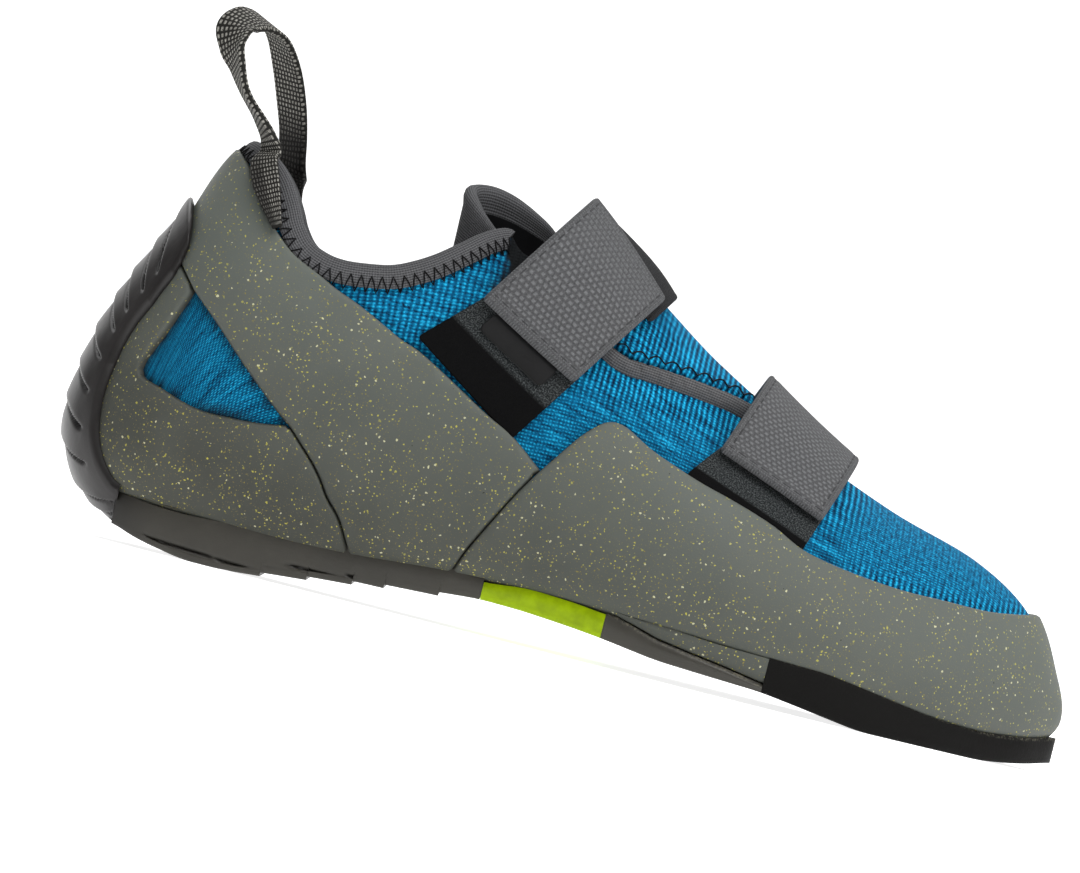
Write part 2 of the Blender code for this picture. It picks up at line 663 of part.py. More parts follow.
def band(name, frame, start, end, turns, lift_of, thickness, count, columns=5, hem=0.0, splay=0.0, sunk=0.0):
    """A strip from one turn angle to another round the instep, lying on the last at a lift."""
    width, rise, hub, hub_y = frame
    tree = hull_of_last(0.0)
    far_tree = hull_of_last(BAND_REACH)
    outer = []
    inner = []
    for r in range(count):
        turn = math.radians(turns[0] + (turns[1] - turns[0]) * r / (count - 1))
        way = rise * math.cos(turn) + Vector((0, math.sin(turn), 0))
        top = []
        bottom = []
        for c in range(columns):
            opened = start - splay * (1 - r / (count - 1))
            across = opened + (end - opened) * c / (columns - 1)
            origin = hub + width * across + Vector((0, hub_y, 0))
            reach = cast(tree, origin, way)
            slant = (cast(far_tree, origin, way) - reach) / BAND_REACH
            lift = lift_of(math.degrees(turn), c / (columns - 1))
            round_off = 0.35 * thickness if c in (0, columns - 1) else 0.0
            extra = hem if r in (0, 1) else 0.0
            bottom.append(origin + way * (reach + slant * (lift - sunk)))
            top.append(origin + way * (reach + slant * (lift + thickness + extra - round_off)))
        outer.append(top)
        inner.append(bottom)
    return slab(name, outer, inner)


# Where each strap lies: slope of its width in degrees, places along it in shares of LENGTH and
# turn angles in degrees from the ridge, lateral first.
UPPER_STRAP = {"slope": 33.6, "across": 0.1255, "hub": 0.3870, "hub_y": 0.034, "hem": -58.0, "end": 7.0,
               "patch": (-90.0, -44.0), "label": (-64.5, -75.0)}
LOWER_STRAP = {"slope": 20.7, "across": 0.4925, "hub": 0.3570, "hub_y": 0.034, "hem": -60.0, "end": 62.0,
               "patch": (-78.5, -47.0)}


def bump(angle, centre, spread):
    return math.exp(-((angle - centre) / spread) ** 2)


def build_straps():
    base = FIT + HOOK_PATCH + STRAP_CLEARANCE
    over_flap = FIT + FLAP_WALL + STRAP_CLEARANCE + 2 * FIT
    over_binding = FIT + FLAP_WALL + BINDING_WALL + STRAP_CLEARANCE
    root_wall = 0.7 * WEBBING

    def resting(angle, hem):
        """The lift that clears the hook patch at the hem, the bound edge, and then the flap."""
        if angle > 0:
            return over_binding + (over_flap - over_binding) * min(angle / 40.0, 1.0)
        return base + (over_binding - base) * min(max((angle - hem) / 22.0, 0.0), 1.0)

    def root_lift(angle, across):
        arch = UPPER_ARCH * (1.25 - 0.95 * across) * bump(angle, -12, 26)
        return resting(angle, UPPER_STRAP["hem"]) + arch + ROOT_ARCH * across * bump(angle, 16, 15)

    def upper_lift(angle, across):
        settle = min(max((angle + 50.0) / 22.0, 0.0), 1.0)
        return root_lift(angle, across) + (root_wall + STRAP_CLEARANCE) * settle

    def lower_lift(angle, across):
        arch = LOWER_ARCH * (1.25 - 0.9 * across) * bump(angle, -12, 26)
        return resting(angle, LOWER_STRAP["hem"]) + arch

    for name, plan, lift, rows in (("upper", UPPER_STRAP, upper_lift, 12), ("lower", LOWER_STRAP, lower_lift, 15)):
        frame = band_frame(plan)
        start = plan["across"] * LENGTH
        end = start + STRAP_WIDTH
        strap = band(name + "_strap", frame, start, end, (plan["hem"], plan["end"]), lift, WEBBING, rows,
                     hem=HEM_ROLL)
        finish(strap, "webbing")
        patch = band(name + "_hook_patch", frame, start + 0.04 * STRAP_WIDTH, end, plan["patch"], lambda a, c: FIT,
                     HOOK_PATCH, 7, splay=PATCH_SPLAY, sunk=HOOK_PATCH)
        cut(patch, last_form("under_patch", FIT))
        cut(patch, rand_zone())
        finish(patch, "hook")
    frame = band_frame(UPPER_STRAP)
    start = UPPER_STRAP["across"] * LENGTH
    end = start + STRAP_WIDTH
    root = band("strap_root", frame, start + ROOT_SHIFT, end + ROOT_SHIFT, (-24.0, 80.0),
                lambda a, c: root_lift(a, c + 0.1), root_wall, 14)
    finish(root, "loop_webbing")
    label = band("label_patch", frame, start + LABEL_INSET, end - LABEL_INSET, UPPER_STRAP["label"],
                 lambda a, c: FIT + HOOK_PATCH + FIT, LABEL_THICKNESS, 3, columns=4)
    finish(label, "satin")


def build_flap():
    """The knit flap that wraps from the big-toe side over the ridge, and its bound edge."""
    front = FLAP_FRONT * LENGTH
    high = 1.5 * INSTEP_HEIGHT
    line = [p for p in smooth_line(FLAP_LINE, 2) if p[0] < front]
    line.append(Vector((front, line[-1][1])))
    crest = [Vector((front, high)), Vector((FLAP_REAR[0][0], high))]
    lateral = [*line, *crest, *FLAP_REAR[:2]]
    rand_top = smooth_line(RAND_TOP_REAR[-6:], 2)[:-1] + smooth_line(RAND_TOP_FRONT, 2)
    medial = [p + Vector((0, 2 * FIT)) for p in rand_top if FLAP_REAR[-1][0] < p[0] < front]
    medial += [Vector((front, medial[-1][1])), *crest, *FLAP_REAR]
    flap = overlay("medial_flap", [(lateral, -BALL_WIDTH, FLAP_CROSSING + SEAM),
                                   (medial, FLAP_CROSSING, BALL_WIDTH)], FLAP_WALL)
    finish(flap, "knit")
    top = moved(line, 0, -FIT)
    edge = [*top, *reversed(moved(top, 0, -FLAP_BINDING_WIDTH))]
    binding = overlay("flap_binding", [(edge, -BALL_WIDTH, 0.0)], FLAP_WALL + BINDING_WALL)
    finish(binding, "binding")


def collar_band(name, drop, rise, front):
    """A prism of the side view that follows the collar's edge from below it to above it."""
    line = [p for p in COLLAR_LINE if p[0] < front]
    tip = Vector((front, line[-1][1]))
    low = []
    high = []
    for k, spot in enumerate(line):
        run = (line[min(k + 1, len(line) - 1)] - line[max(k - 1, 0)]).normalized()
        across = Vector((-run[1], run[0]))
        low.append(spot - across * drop)
        high.append(spot + across * rise)
    low = [p for p in low if p[0] < front - rise]
    high = [p for p in high if p[0] < front - rise]
    rear = -0.1 * LENGTH
    outline = [Vector((rear, low[0][1])), *low, tip - Vector((0, drop)), tip + Vector((0, rise)),
               *reversed(high), Vector((rear, high[0][1]))]
    return side_prism(name, outline, -BALL_WIDTH, BALL_WIDTH)


def below_collar(lift):
    """A prism of everything below the collar's edge, raised by a clearance."""
    line = smooth_line(COLLAR_LINE, 2)
    raised = []
    for k, spot in enumerate(line):
        run = (line[min(k + 1, len(line) - 1)] - line[max(k - 1, 0)]).normalized()
        raised.append(spot + Vector((-run[1], run[0])) * lift)
    rear = -0.2 * LENGTH
    outline = [Vector((rear, 0)), Vector((rear, raised[0][1])), *raised, Vector((raised[-1][0], 0))]
    return side_prism("below_collar", outline, -BALL_WIDTH, BALL_WIDTH)


def build_collar_binding():
    """A band folded over the collar's edge, down both faces of the wall."""
    front = COLLAR_BINDING_END * LENGTH
    binding = last_form("collar_binding", FIT + BINDING_WALL)
    cut(binding, last_form("inner_face", -UPPER_WALL - FIT - BINDING_WALL))
    keep_inside(binding, collar_band("band", COLLAR_BINDING_HEIGHT, BINDING_WALL + FIT, front))
    channel = last_form("channel", FIT)
    cut(channel, last_form("channel_room", -UPPER_WALL - FIT))
    keep_inside(channel, below_collar(FIT))
    cut(binding, channel)
    outside = last_form("outside", 2 * RAND_WALL)
    cut(outside, last_form("outside_room", -0.5 * UPPER_WALL))
    keep_inside(outside, rand_zone())
    cut(binding, outside)
    return finish(binding, "binding")


def side_spot(x, z, sign, offset):
    """The place and the outward direction on the last's side at this x and height."""
    u = row_at_x(x)
    low, high = 0.0, 0.5 * math.pi
    for _ in range(40):
        middle = 0.5 * (low + high)
        if last_point(u, middle)[2] < z:
            low = middle
        else:
            high = middle
    angle = low if sign > 0 else math.pi - low
    base = last_point(u, angle)
    normal = (skin_point(u, angle, 0.001) - base).normalized()
    return base + normal * offset, normal


# The tongue's folded top edge: x as a share of LENGTH, y of BALL_WIDTH, top and foot of
# INSTEP_HEIGHT, and the wall that it is sewn to at its ends
TONGUE_ROWS = [
    (0.406, -0.115, 0.880, 0.780, -1),
    (0.378, -0.098, 0.900, 0.760, 0),
    (0.352, -0.078, 0.945, 0.740, 0),
    (0.332, -0.060, 0.990, 0.730, 0),
    (0.3215, -0.005, 1.020, 0.725, 0),
    (0.324, 0.050, 1.034, 0.725, 0),
    (0.342, 0.080, 1.030, 0.730, 0),
    (0.364, 0.092, 0.995, 0.745, 0),
    (0.388, 0.104, 0.940, 0.765, 0),
    (0.408, 0.115, 0.880, 0.780, 1),
]


def build_tongue():
    """The gusset folded over on itself, open at its top like a pocket."""
    half = 0.5 * TONGUE_WALL
    tops = []
    feet = []
    for x, y, top, foot, wall in TONGUE_ROWS:
        place = Vector((x * LENGTH, y * BALL_WIDTH, top * INSTEP_HEIGHT))
        if wall:
            spot, _ = side_spot(place[0], place[2], wall, -UPPER_WALL - 5 * FIT - half)
            place[1] = spot[1]
        tops.append(place)
        feet.append(Vector((place[0], place[1], foot * INSTEP_HEIGHT)))
    middle = smooth_line(tops, 2)
    foot = smooth_line(feet, 2)
    rings = []
    for k, spot in enumerate(middle):
        run = middle[min(k + 1, len(middle) - 1)] - middle[max(k - 1, 0)]
        out = Vector((run[1], -run[0], 0)).normalized()
        low = foot[k]
        shape = []
        for share, lean in ((0.0, 0.0), (0.5, 0.5 * half), (0.9, 0.0), (1.0, -0.35 * half)):
            shape.append(low.lerp(spot, share) + out * (half + lean))
        for share, lean in ((1.0, -0.35 * half), (0.9, 0.0), (0.5, 0.0), (0.0, 0.0)):
            shape.append(low.lerp(spot, share) - out * (half + lean))
        rings.append(shape)
    return finish(loft("tongue", rings), "binding")


# The pull loop's middle line: x and z from the heel peak and y, as shares of LOOP_HEIGHT, the turn
# of its width in degrees, its width as a share of LOOP_WIDTH, and the side that it is sewn to
LOOP_ROWS = [
    (0.340, 0.000, -0.450, 0, 0.50, -1),
    (0.230, 0.000, -0.240, 0, 0.52, -1),
    (0.100, 0.000, -0.035, 0, 0.60, -1),
    (-0.020, -0.400, 0.180, 50, 0.80, 0),
    (-0.190, -0.360, 0.440, 30, 0.95, 0),
    (-0.330, -0.220, 0.720, 12, 1.00, 0),
    (-0.250, 0.000, 0.930, 4, 1.00, 0),
    (0.010, 0.230, 0.970, 0, 1.00, 0),
    (0.220, 0.420, 0.760, -6, 1.00, 0),
    (0.330, 0.540, 0.450, -12, 0.95, 0),
    (0.390, 0.620, 0.120, -25, 0.80, 0),
    (0.430, 0.000, -0.240, 0, 0.60, 1),
    (0.450, 0.000, -0.480, 0, 0.52, 1),
]


def build_loop():
    peak = Vector((0.105 * LENGTH, 0, HEEL_HEIGHT))
    seat = FIT + RAND_WALL + 3 * FIT + 0.5 * LOOP_THICKNESS
    centres = []
    widths = []
    shares = []
    for k, row in enumerate(LOOP_ROWS):
        spot = peak + LOOP_HEIGHT * Vector(row[:3])
        turn = math.radians(row[3])
        wide = Vector((math.cos(turn), math.sin(turn), 0))
        if row[5]:
            spot, normal = side_spot(spot[0], spot[2], row[5], seat)
            wide = normal.cross(Vector((-0.45, 0, 0.9))).normalized()
            if wide[0] < 0:
                wide = -wide
        centres.append(spot)
        widths.append(wide)
        shares.append(Vector((row[4], 0)))
    middle = smooth_line(centres, 3)
    wides = smooth_line(widths, 3)
    shares = smooth_line(shares, 3)
    rings = []
    for k, spot in enumerate(middle):
        run = (middle[min(k + 1, len(middle) - 1)] - middle[max(k - 1, 0)]).normalized()
        wide = (wides[k] - run * wides[k].dot(run)).normalized()
        flat = wide.cross(run).normalized()
        half = 0.5 * LOOP_WIDTH * shares[k][0]
        thick = 0.5 * LOOP_THICKNESS
        corners = ((1, 1), (-1, 1), (-1, -1), (1, -1))
        rings.append([spot + wide * half * a + flat * thick * b for a, b in corners])
    return finish(loft("pull_loop", rings), "loop_webbing")


def centre_on_floor():
    """Puts the shoe's box over the origin, with its lowest point on the floor."""
    bpy.context.view_layer.update()
    pieces = [piece for piece in bpy.context.scene.objects if piece.type == "MESH"]
    corners = np.array([v.co for piece in pieces for v in piece.data.vertices])
    low = corners.min(axis=0)
    high = corners.max(axis=0)
    shift = Vector((-0.5 * (low[0] + high[0]), -0.5 * (low[1] + high[1]), -low[2]))
    for piece in pieces:
        piece.location = shift


build_upper()
build_insole()
build_soles()
build_heel_cup()
build_rands()
build_flap()
build_tongue()
build_collar_binding()
build_straps()
build_loop()
centre_on_floor()
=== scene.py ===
import math

import bpy
import numpy as np
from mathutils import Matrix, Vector
from mathutils.bvhtree import BVHTree


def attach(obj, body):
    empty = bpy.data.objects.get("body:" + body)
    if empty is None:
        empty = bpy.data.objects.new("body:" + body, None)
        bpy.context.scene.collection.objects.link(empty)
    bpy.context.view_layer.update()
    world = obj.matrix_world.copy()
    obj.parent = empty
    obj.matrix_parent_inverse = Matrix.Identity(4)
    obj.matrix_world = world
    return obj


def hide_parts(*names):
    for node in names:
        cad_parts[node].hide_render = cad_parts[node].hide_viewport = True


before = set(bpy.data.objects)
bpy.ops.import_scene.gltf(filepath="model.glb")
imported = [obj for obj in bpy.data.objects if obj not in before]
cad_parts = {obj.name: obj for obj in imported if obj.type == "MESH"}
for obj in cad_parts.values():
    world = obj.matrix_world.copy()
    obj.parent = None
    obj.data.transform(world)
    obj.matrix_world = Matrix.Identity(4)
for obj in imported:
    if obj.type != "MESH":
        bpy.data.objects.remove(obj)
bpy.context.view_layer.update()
rng = np.random.default_rng(11)

# sizes of the last, in metres, and where its heel end sits in the frame
last = {"length": 0.2587, "heelWidth": 0.062, "ballWidth": 0.0885, "heelHeight": 0.103,
        "instepHeight": 0.104, "toeHeight": 0.0388, "wall": 0.0018, "rand": 0.0018, "fit": 0.0003,
        "under": 0.00008, "place": (-0.12807, 0.00008, 0.0)}
length = last["length"]
shoePlace = np.array(last["place"])

# the same cross-sections as the solids: shares of length, then of each group's height and width
sections = {
    "x": (0.0124, 0.0213, 0.0387, 0.0657, 0.0986, 0.1546, 0.2319, 0.3092, 0.4020, 0.4948, 0.5876,
          0.6881, 0.7886, 0.8813, 0.9432, 0.9760, 0.9907),
    "low": (0.000, 0.082, 0.144, 0.188, 0.207, 0.219, 0.194, 0.143, 0.104, 0.101, 0.099,
            0.247, 0.253, 0.235, 0.198, 0.142, 0.000),
    "middle": (0.291, 0.291, 0.291, 0.291, 0.291, 0.291, 0.272, 0.245, 0.231, 0.226, 0.207,
               0.490, 0.438, 0.397, 0.379, 0.369, 0.366),
    "high": (0.000, 0.155, 0.298, 0.471, 0.684, 0.791, 0.820, 0.817, 0.769, 0.673, 0.546,
             1.186, 0.972, 0.830, 0.601, 0.265, 0.000),
    "half": (0.000, 0.182, 0.300, 0.397, 0.442, 0.458, 0.455, 0.315, 0.329, 0.376, 0.435,
             0.470, 0.443, 0.348, 0.224, 0.113, 0.000),
    "centre": (0.000, 0.000, 0.000, 0.000, 0.000, -0.006, -0.019, -0.026, -0.046, -0.055, -0.042,
               -0.007, 0.043, 0.104, 0.156, 0.181, 0.181),
    "ridge": (0.000, 0.000, 0.000, 0.000, 0.000, 0.000, 0.000, 0.011, 0.034, 0.056, 0.079,
              0.102, 0.136, 0.169, 0.181, 0.181, 0.181),
    "topPower": (1.90, 1.90, 1.90, 1.90, 2.00, 2.20, 2.30, 2.30, 2.20, 2.00, 1.95,
                 2.00, 2.10, 2.30, 2.30, 2.30, 2.20),
    "footPower": (3.0, 3.0, 3.0, 3.0, 3.0, 3.0, 3.3, 3.8, 4.0, 4.0, 4.0,
                  4.0, 4.5, 5.0, 4.5, 3.5, 3.0),
}
sectionHeights = np.array([last["heelHeight"]] * 7 + [last["instepHeight"]] * 4 + [last["toeHeight"]] * 6)
sectionWidths = np.array([last["heelWidth"]] * 7 + [last["ballWidth"]] * 10)
lastRow = len(sections["x"]) - 1


def sectionColumn(name):
    values = np.array(sections[name])
    if name == "x":
        values = values * length
    elif name in ("low", "middle", "high"):
        values = values * sectionHeights
    elif name in ("half", "centre", "ridge"):
        values = values * sectionWidths
    sign = -1.0 if name in ("low", "high", "half") else 1.0
    return np.concatenate(([sign * values[1]], values, [sign * values[-2]]))


columns = {name: sectionColumn(name) for name in sections}


def curveAt(a, b, c, d, t):
    # a smooth curve from b to c, with its neighbours a and d
    return b + 0.5 * t * (c - a + t * (2 * a - 5 * b + 4 * c - d + t * (3 * b - a - 3 * c + d)))


def atRow(name, u):
    u = np.clip(u, 0.0, float(lastRow))
    i = np.minimum(u.astype(int), lastRow - 1)
    t = u - i
    return curveAt(*(columns[name][i + k] for k in range(4)), t)


def closeIn(low, high, isShort):
    # halves the range round the place where isShort turns false
    for _ in range(36):
        middle = 0.5 * (low + high)
        short = isShort(middle)
        low = np.where(short, middle, low)
        high = np.where(short, high, middle)
    return low, high


def rowAtX(x):
    low, high = closeIn(np.zeros_like(x), np.full_like(x, float(lastRow)), lambda u: atRow("x", u) < x)
    return 0.5 * (low + high)


def lastPoint(u, a):
    up = np.sin(a)
    out = np.cos(a)
    power = np.where(up >= 0, atRow("topPower", u), atRow("footPower", u))
    stretch = (np.abs(up) ** power + np.abs(out) ** power) ** (-1.0 / power)
    rise = up * stretch
    height = np.where(up >= 0, atRow("high", u), atRow("low", u))
    lean = np.maximum(rise, 0.0) ** 1.5 * (atRow("ridge", u) - atRow("centre", u))
    y = atRow("centre", u) + out * stretch * atRow("half", u) + lean
    return np.stack((atRow("x", u), y, atRow("middle", u) + rise * height), axis=-1)


def lastNormal(u, a, step=0.03):
    u = np.clip(u, step + 0.005, lastRow - step - 0.005)
    along = lastPoint(u + step, a) - lastPoint(u - step, a)
    across = lastPoint(u, a + step) - lastPoint(u, a - step)
    normal = np.cross(across, along)
    return normal / np.linalg.norm(normal, axis=-1, keepdims=True)


def skinPoint(u, a, offset):
    return lastPoint(u, a) + lastNormal(u, a) * np.asarray(offset)[..., None]


# soft creases of the knit and the rubber: side-view ends in shares of length, half width, depth
creases = {
    "ankleFold": {"run": ((0.235, 0.205), (0.330, 0.260)), "half": 0.0045, "depth": -0.0006},
    "quarterFold": {"run": ((0.215, 0.262), (0.300, 0.236)), "half": 0.0040, "depth": -0.0005},
    "waistFold": {"run": ((0.420, 0.215), (0.500, 0.150)), "half": 0.0050, "depth": -0.0005},
    "vampFold": {"run": ((0.600, 0.205), (0.665, 0.150)), "half": 0.0045, "depth": -0.0004},
    "ballBulge": {"run": ((0.600, 0.085), (0.700, 0.070)), "half": 0.0120, "depth": 0.0003},
    "heelDent": {"run": ((0.090, 0.170), (0.150, 0.100)), "half": 0.0100, "depth": -0.0004},
}


def creaseLift(points):
    lift = np.zeros(points.shape[:-1])
    flat = points[..., (0, 2)]
    for crease in creases.values():
        start, end = (np.array(p) * length for p in crease["run"])
        run = end - start
        share = np.clip(((flat - start) @ run) / (run @ run), 0, 1)
        away = np.linalg.norm(flat - start - share[..., None] * run, axis=-1)
        lift += crease["depth"] * np.exp(-(away / crease["half"]) ** 2)
    return lift


def smoothLine(points, pieces=6):
    spread = np.array(points, float)
    ends = np.vstack((2 * spread[0] - spread[1], spread, 2 * spread[-1] - spread[-2]))
    line = [curveAt(*ends[i:i + 4], k / pieces) for i in range(len(spread) - 1) for k in range(pieces)]
    return np.array(line + [spread[-1]])


def edgeSpaced(count, crowd=0.75):
    # places from 0 to 1, closer together at both ends
    t = np.linspace(0, 1, count)
    return t - crowd * np.sin(2 * math.pi * t) / (2 * math.pi)


def roundedAt(away, radius):
    # rises from 0 at an edge to 1 at this distance, as a quarter circle
    return np.sqrt(1 - (1 - np.clip(away / radius, 0, 1)) ** 2)


def arcOf(points):
    return np.concatenate(([0], np.cumsum(np.linalg.norm(np.diff(points, axis=0), axis=1))))


def resampled(values, arc, places):
    return np.stack([np.interp(places, arc, column) for column in values.T], axis=1)


def unit(vectors):
    return vectors / np.maximum(np.linalg.norm(vectors, axis=-1, keepdims=True), 1e-12)


def pairsOf(first, second):
    # every pair of a value of each list
    return np.stack(np.meshgrid(first, second, indexing="ij"), axis=-1).reshape(-1, 2)


def sideLine(points):
    # shares of length and height of the side view, in metres
    places = []
    for x, z in points:
        ahead = min(max((x - 0.13) / 0.13, 0.0), 1.0)
        height = last["heelHeight"] + (last["instepHeight"] - last["heelHeight"]) * ahead
        places.append((x * length, z * height))
    return places


def lineDistance(points, line):
    best = np.full(len(points), 1e9)
    for start, end in zip(line[:-1], line[1:]):
        run = end - start
        share = np.clip(((points - start) @ run) / max(run @ run, 1e-12), 0, 1)
        away = points - start - share[:, None] * run
        best = np.minimum(best, (away ** 2).sum(1))
    return np.sqrt(best)


def insideDistance(points, outline):
    # positive inside the outline
    outline = np.array(outline, float)
    closed = np.vstack((outline, outline[:1]))
    inside = np.zeros(len(points), bool)
    for (x0, y0), (x1, y1) in zip(closed[:-1], closed[1:]):
        if y0 == y1:
            continue
        crosses = (y0 > points[:, 1]) != (y1 > points[:, 1])
        at = x0 + (points[:, 1] - y0) * (x1 - x0) / (y1 - y0)
        inside ^= crosses & (points[:, 0] < at)
    away = lineDistance(points, closed)
    return np.where(inside, away, -away)


grid = {"along": 248, "around": 148}
gridRows = np.linspace(0.0, float(lastRow), grid["along"] + 1)
gridAngles = np.linspace(-0.5 * math.pi, 1.5 * math.pi, grid["around"] + 1)


def lastGrid():
    # columns of the table: row of the last, angle
    places = pairsOf(gridRows, gridAngles)
    r, k = np.meshgrid(np.arange(grid["along"]), np.arange(grid["around"]), indexing="ij")
    corner = (r * (grid["around"] + 1) + k).ravel()
    side = corner + grid["around"] + 1
    faces = np.vstack((np.stack((corner, corner + 1, side + 1), 1), np.stack((corner, side + 1, side), 1)))
    return places, faces


def splitAlong(table, faces, column, level):
    value = table[:, column] - level
    value = np.where(np.abs(value) < 1e-8, 1e-8, value)
    above = value > 0
    count = above[faces].sum(1)
    mixed = faces[(count == 1) | (count == 2)]
    if not len(mixed):
        return table, faces
    lone = above[mixed] == (above[mixed].sum(1) == 1)[:, None]
    first = lone.argmax(1)
    order = (first[:, None] + np.arange(3)) % 3
    a, b, c = np.take_along_axis(mixed, order, 1).T
    edges = np.sort(np.vstack((np.stack((a, b), 1), np.stack((a, c), 1))), axis=1)
    edges, back = np.unique(edges, axis=0, return_inverse=True)
    back = back.reshape(-1)
    share = value[edges[:, 0]] / (value[edges[:, 0]] - value[edges[:, 1]])
    added = table[edges[:, 0]] * (1 - share[:, None]) + table[edges[:, 1]] * share[:, None]
    ab = len(table) + back[:len(a)]
    ac = len(table) + back[len(a):]
    whole = faces[(count == 0) | (count == 3)]
    faces = np.vstack((whole, np.stack((a, ab, ac), 1), np.stack((ab, b, c), 1), np.stack((ab, c, ac), 1)))
    return np.vstack((table, added)), faces


def keepAbove(table, faces, column, level):
    table, faces = splitAlong(table, faces, column, level)
    middle = table[faces, column].mean(1)
    faces = faces[middle > level]
    used, back = np.unique(faces, return_inverse=True)
    return table[used], back.reshape(faces.shape)


def setCloth(mesh, uv):
    # the cloth's own place of every point, in millimetres
    layer = mesh.uv_layers.get("cloth") or mesh.uv_layers.new(name="cloth")
    loops = np.zeros(len(mesh.loops), np.int32)
    mesh.loops.foreach_get("vertex_index", loops)
    layer.data.foreach_set("uv", np.asarray(uv, np.float32)[loops].ravel())


def addPiece(name, points, faces, material, uv, facts=None):
    mesh = bpy.data.meshes.new(name)
    points = np.asarray(points, float) + shoePlace
    faces = [tuple(int(v) for v in face) for face in faces]
    mesh.from_pydata(points.tolist(), [], faces)
    mesh.update()
    setCloth(mesh, uv)
    for key, values in (facts or {}).items():
        attribute = mesh.attributes.new(key, "FLOAT", "POINT")
        attribute.data.foreach_set("value", np.asarray(values, np.float32))
    piece = bpy.data.objects.new(name, mesh)
    bpy.context.scene.collection.objects.link(piece)
    mesh.materials.append(material)
    mesh.shade_smooth()
    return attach(piece, "root")


def gridFaces(rows, cols, closed=False):
    faces = []
    for r in range(rows - 1):
        for k in range(cols if closed else cols - 1):
            a = r * cols + k
            b = r * cols + (k + 1) % cols
            faces.append((a, b, b + cols, a + cols))
    return faces


def shellFaces(outer, out, rim=()):
    # an outer and an inner grid, closed by the rim's faces, turned so that they look outwards
    rows, cols = outer.shape[:2]
    count = rows * cols
    faces = gridFaces(rows, cols)
    faces += [tuple(count + v for v in reversed(face)) for face in faces]
    faces += list(rim)
    r, k = rows // 2, cols // 2
    if np.cross(outer[r, k + 1] - outer[r, k], outer[r + 1, k] - outer[r, k]) @ out[r, k] < 0:
        faces = [tuple(reversed(face)) for face in faces]
    return faces


def addLoft(name, rings, material, uv, facts=None, sharp=0):
    rings = np.asarray(rings, float)
    rows, cols = rings.shape[:2]
    faces = gridFaces(rows, cols, closed=True)
    faces.append(tuple(reversed(range(cols))))
    faces.append(tuple(range((rows - 1) * cols, rows * cols)))
    points = rings.reshape(-1, 3)
    mid = rings[rows // 2]
    ringNormal = np.cross(mid[cols // 4] - mid[0], mid[cols // 2] - mid[0])
    forward = rings[min(rows // 2 + 1, rows - 1)].mean(0) - rings[max(rows // 2 - 1, 0)].mean(0)
    if ringNormal @ forward < 0:
        faces = [tuple(reversed(face)) for face in faces]
    piece = addPiece(name, points, faces, material, uv, facts)
    if sharp:
        piece.data.set_sharp_from_angle(angle=math.radians(sharp))
    return piece


def setInputs(tree, made, values):
    for key, value in values.items():
        socket = made.inputs[key]
        if isinstance(value, bpy.types.NodeSocket):
            tree.links.new(value, socket)
        elif socket.type == "RGBA":
            socket.default_value = (*value, 1.0)
        else:
            socket.default_value = value


def newMaterial(name, **values):
    material = bpy.data.materials.new(name)
    material.use_nodes = True
    tree = material.node_tree
    surface = tree.nodes["Principled BSDF"]
    setInputs(tree, surface, {key.replace("_", " "): value for key, value in values.items()})
    return material, tree, surface


def addNode(tree, kind, values=None, **settings):
    made = tree.nodes.new("ShaderNode" + kind)
    for key, value in settings.items():
        setattr(made, key, value)
    setInputs(tree, made, values or {})
    return made


def calc(tree, operation, a, b=0.0):
    return addNode(tree, "Math", {0: a, 1: b}, operation=operation).outputs[0]


def times(tree, a, b):
    return calc(tree, "MULTIPLY", a, b)


def plus(tree, a, b):
    return calc(tree, "ADD", a, b)


def blendColor(tree, factor, a, b):
    made = addNode(tree, "Mix", data_type="RGBA")
    setInputs(tree, made, {0: factor, 6: a, 7: b})
    return made.outputs[2]


def noiseOf(tree, vector, scale, detail=2.0, rough=0.5):
    return addNode(tree, "TexNoise", {"Vector": vector, "Scale": scale, "Detail": detail,
                                      "Roughness": rough}).outputs["Fac"]


def span(tree, value, low, high, toLow=0.0, toHigh=1.0):
    made = addNode(tree, "MapRange", {"Value": value, "From Min": low, "From Max": high,
                                      "To Min": toLow, "To Max": toHigh}, clamp=True)
    return made.outputs["Result"]


def relief(tree, height, distance, strength=1.0, normal=None):
    values = {"Height": height, "Distance": distance, "Strength": strength}
    if normal is not None:
        values["Normal"] = normal
    return addNode(tree, "Bump", values).outputs["Normal"]


def clothPlace(tree):
    # the cloth's own place in millimetres
    uv = addNode(tree, "UVMap", uv_map="cloth").outputs["UV"]
    return addNode(tree, "SeparateXYZ", {0: uv}).outputs[:2]


def wavy(tree, value, period, shift=0.0):
    turned = times(tree, value, 2 * math.pi / period)
    if not isinstance(shift, float) or shift:
        turned = plus(tree, turned, shift)
    return span(tree, calc(tree, "SINE", turned), -1.0, 1.0)


def stretched(tree, s, t, sScale, tScale):
    return addNode(tree, "CombineXYZ", {0: times(tree, s, sScale),
                                        1: times(tree, t, tScale)}).outputs[0]


def clothNoise(tree, s, t, scale, detail=3.0, rough=0.7, scaleT=None):
    place = stretched(tree, s, t, scale, scaleT or scale)
    return noiseOf(tree, place, 1.0, detail, rough)


def objectPlace(tree):
    return addNode(tree, "TexCoord").outputs["Object"]


def fact(tree, name):
    return addNode(tree, "Attribute", attribute_name=name).outputs["Fac"]


def blendFloat(tree, factor, a, b):
    made = addNode(tree, "Mix", data_type="FLOAT")
    setInputs(tree, made, {0: factor, 2: a, 3: b})
    return made.outputs[0]


# the knit's colours; the last, grey near-black colour is painted shade at the collar's front
knitLook = {"dark": (0.0004, 0.0110, 0.0330), "body": (0.0010, 0.1150, 0.2500),
            "light": (0.0160, 0.4300, 0.7400), "gusset": (0.008, 0.009, 0.010), "rib": 1.62, "row": 0.92}


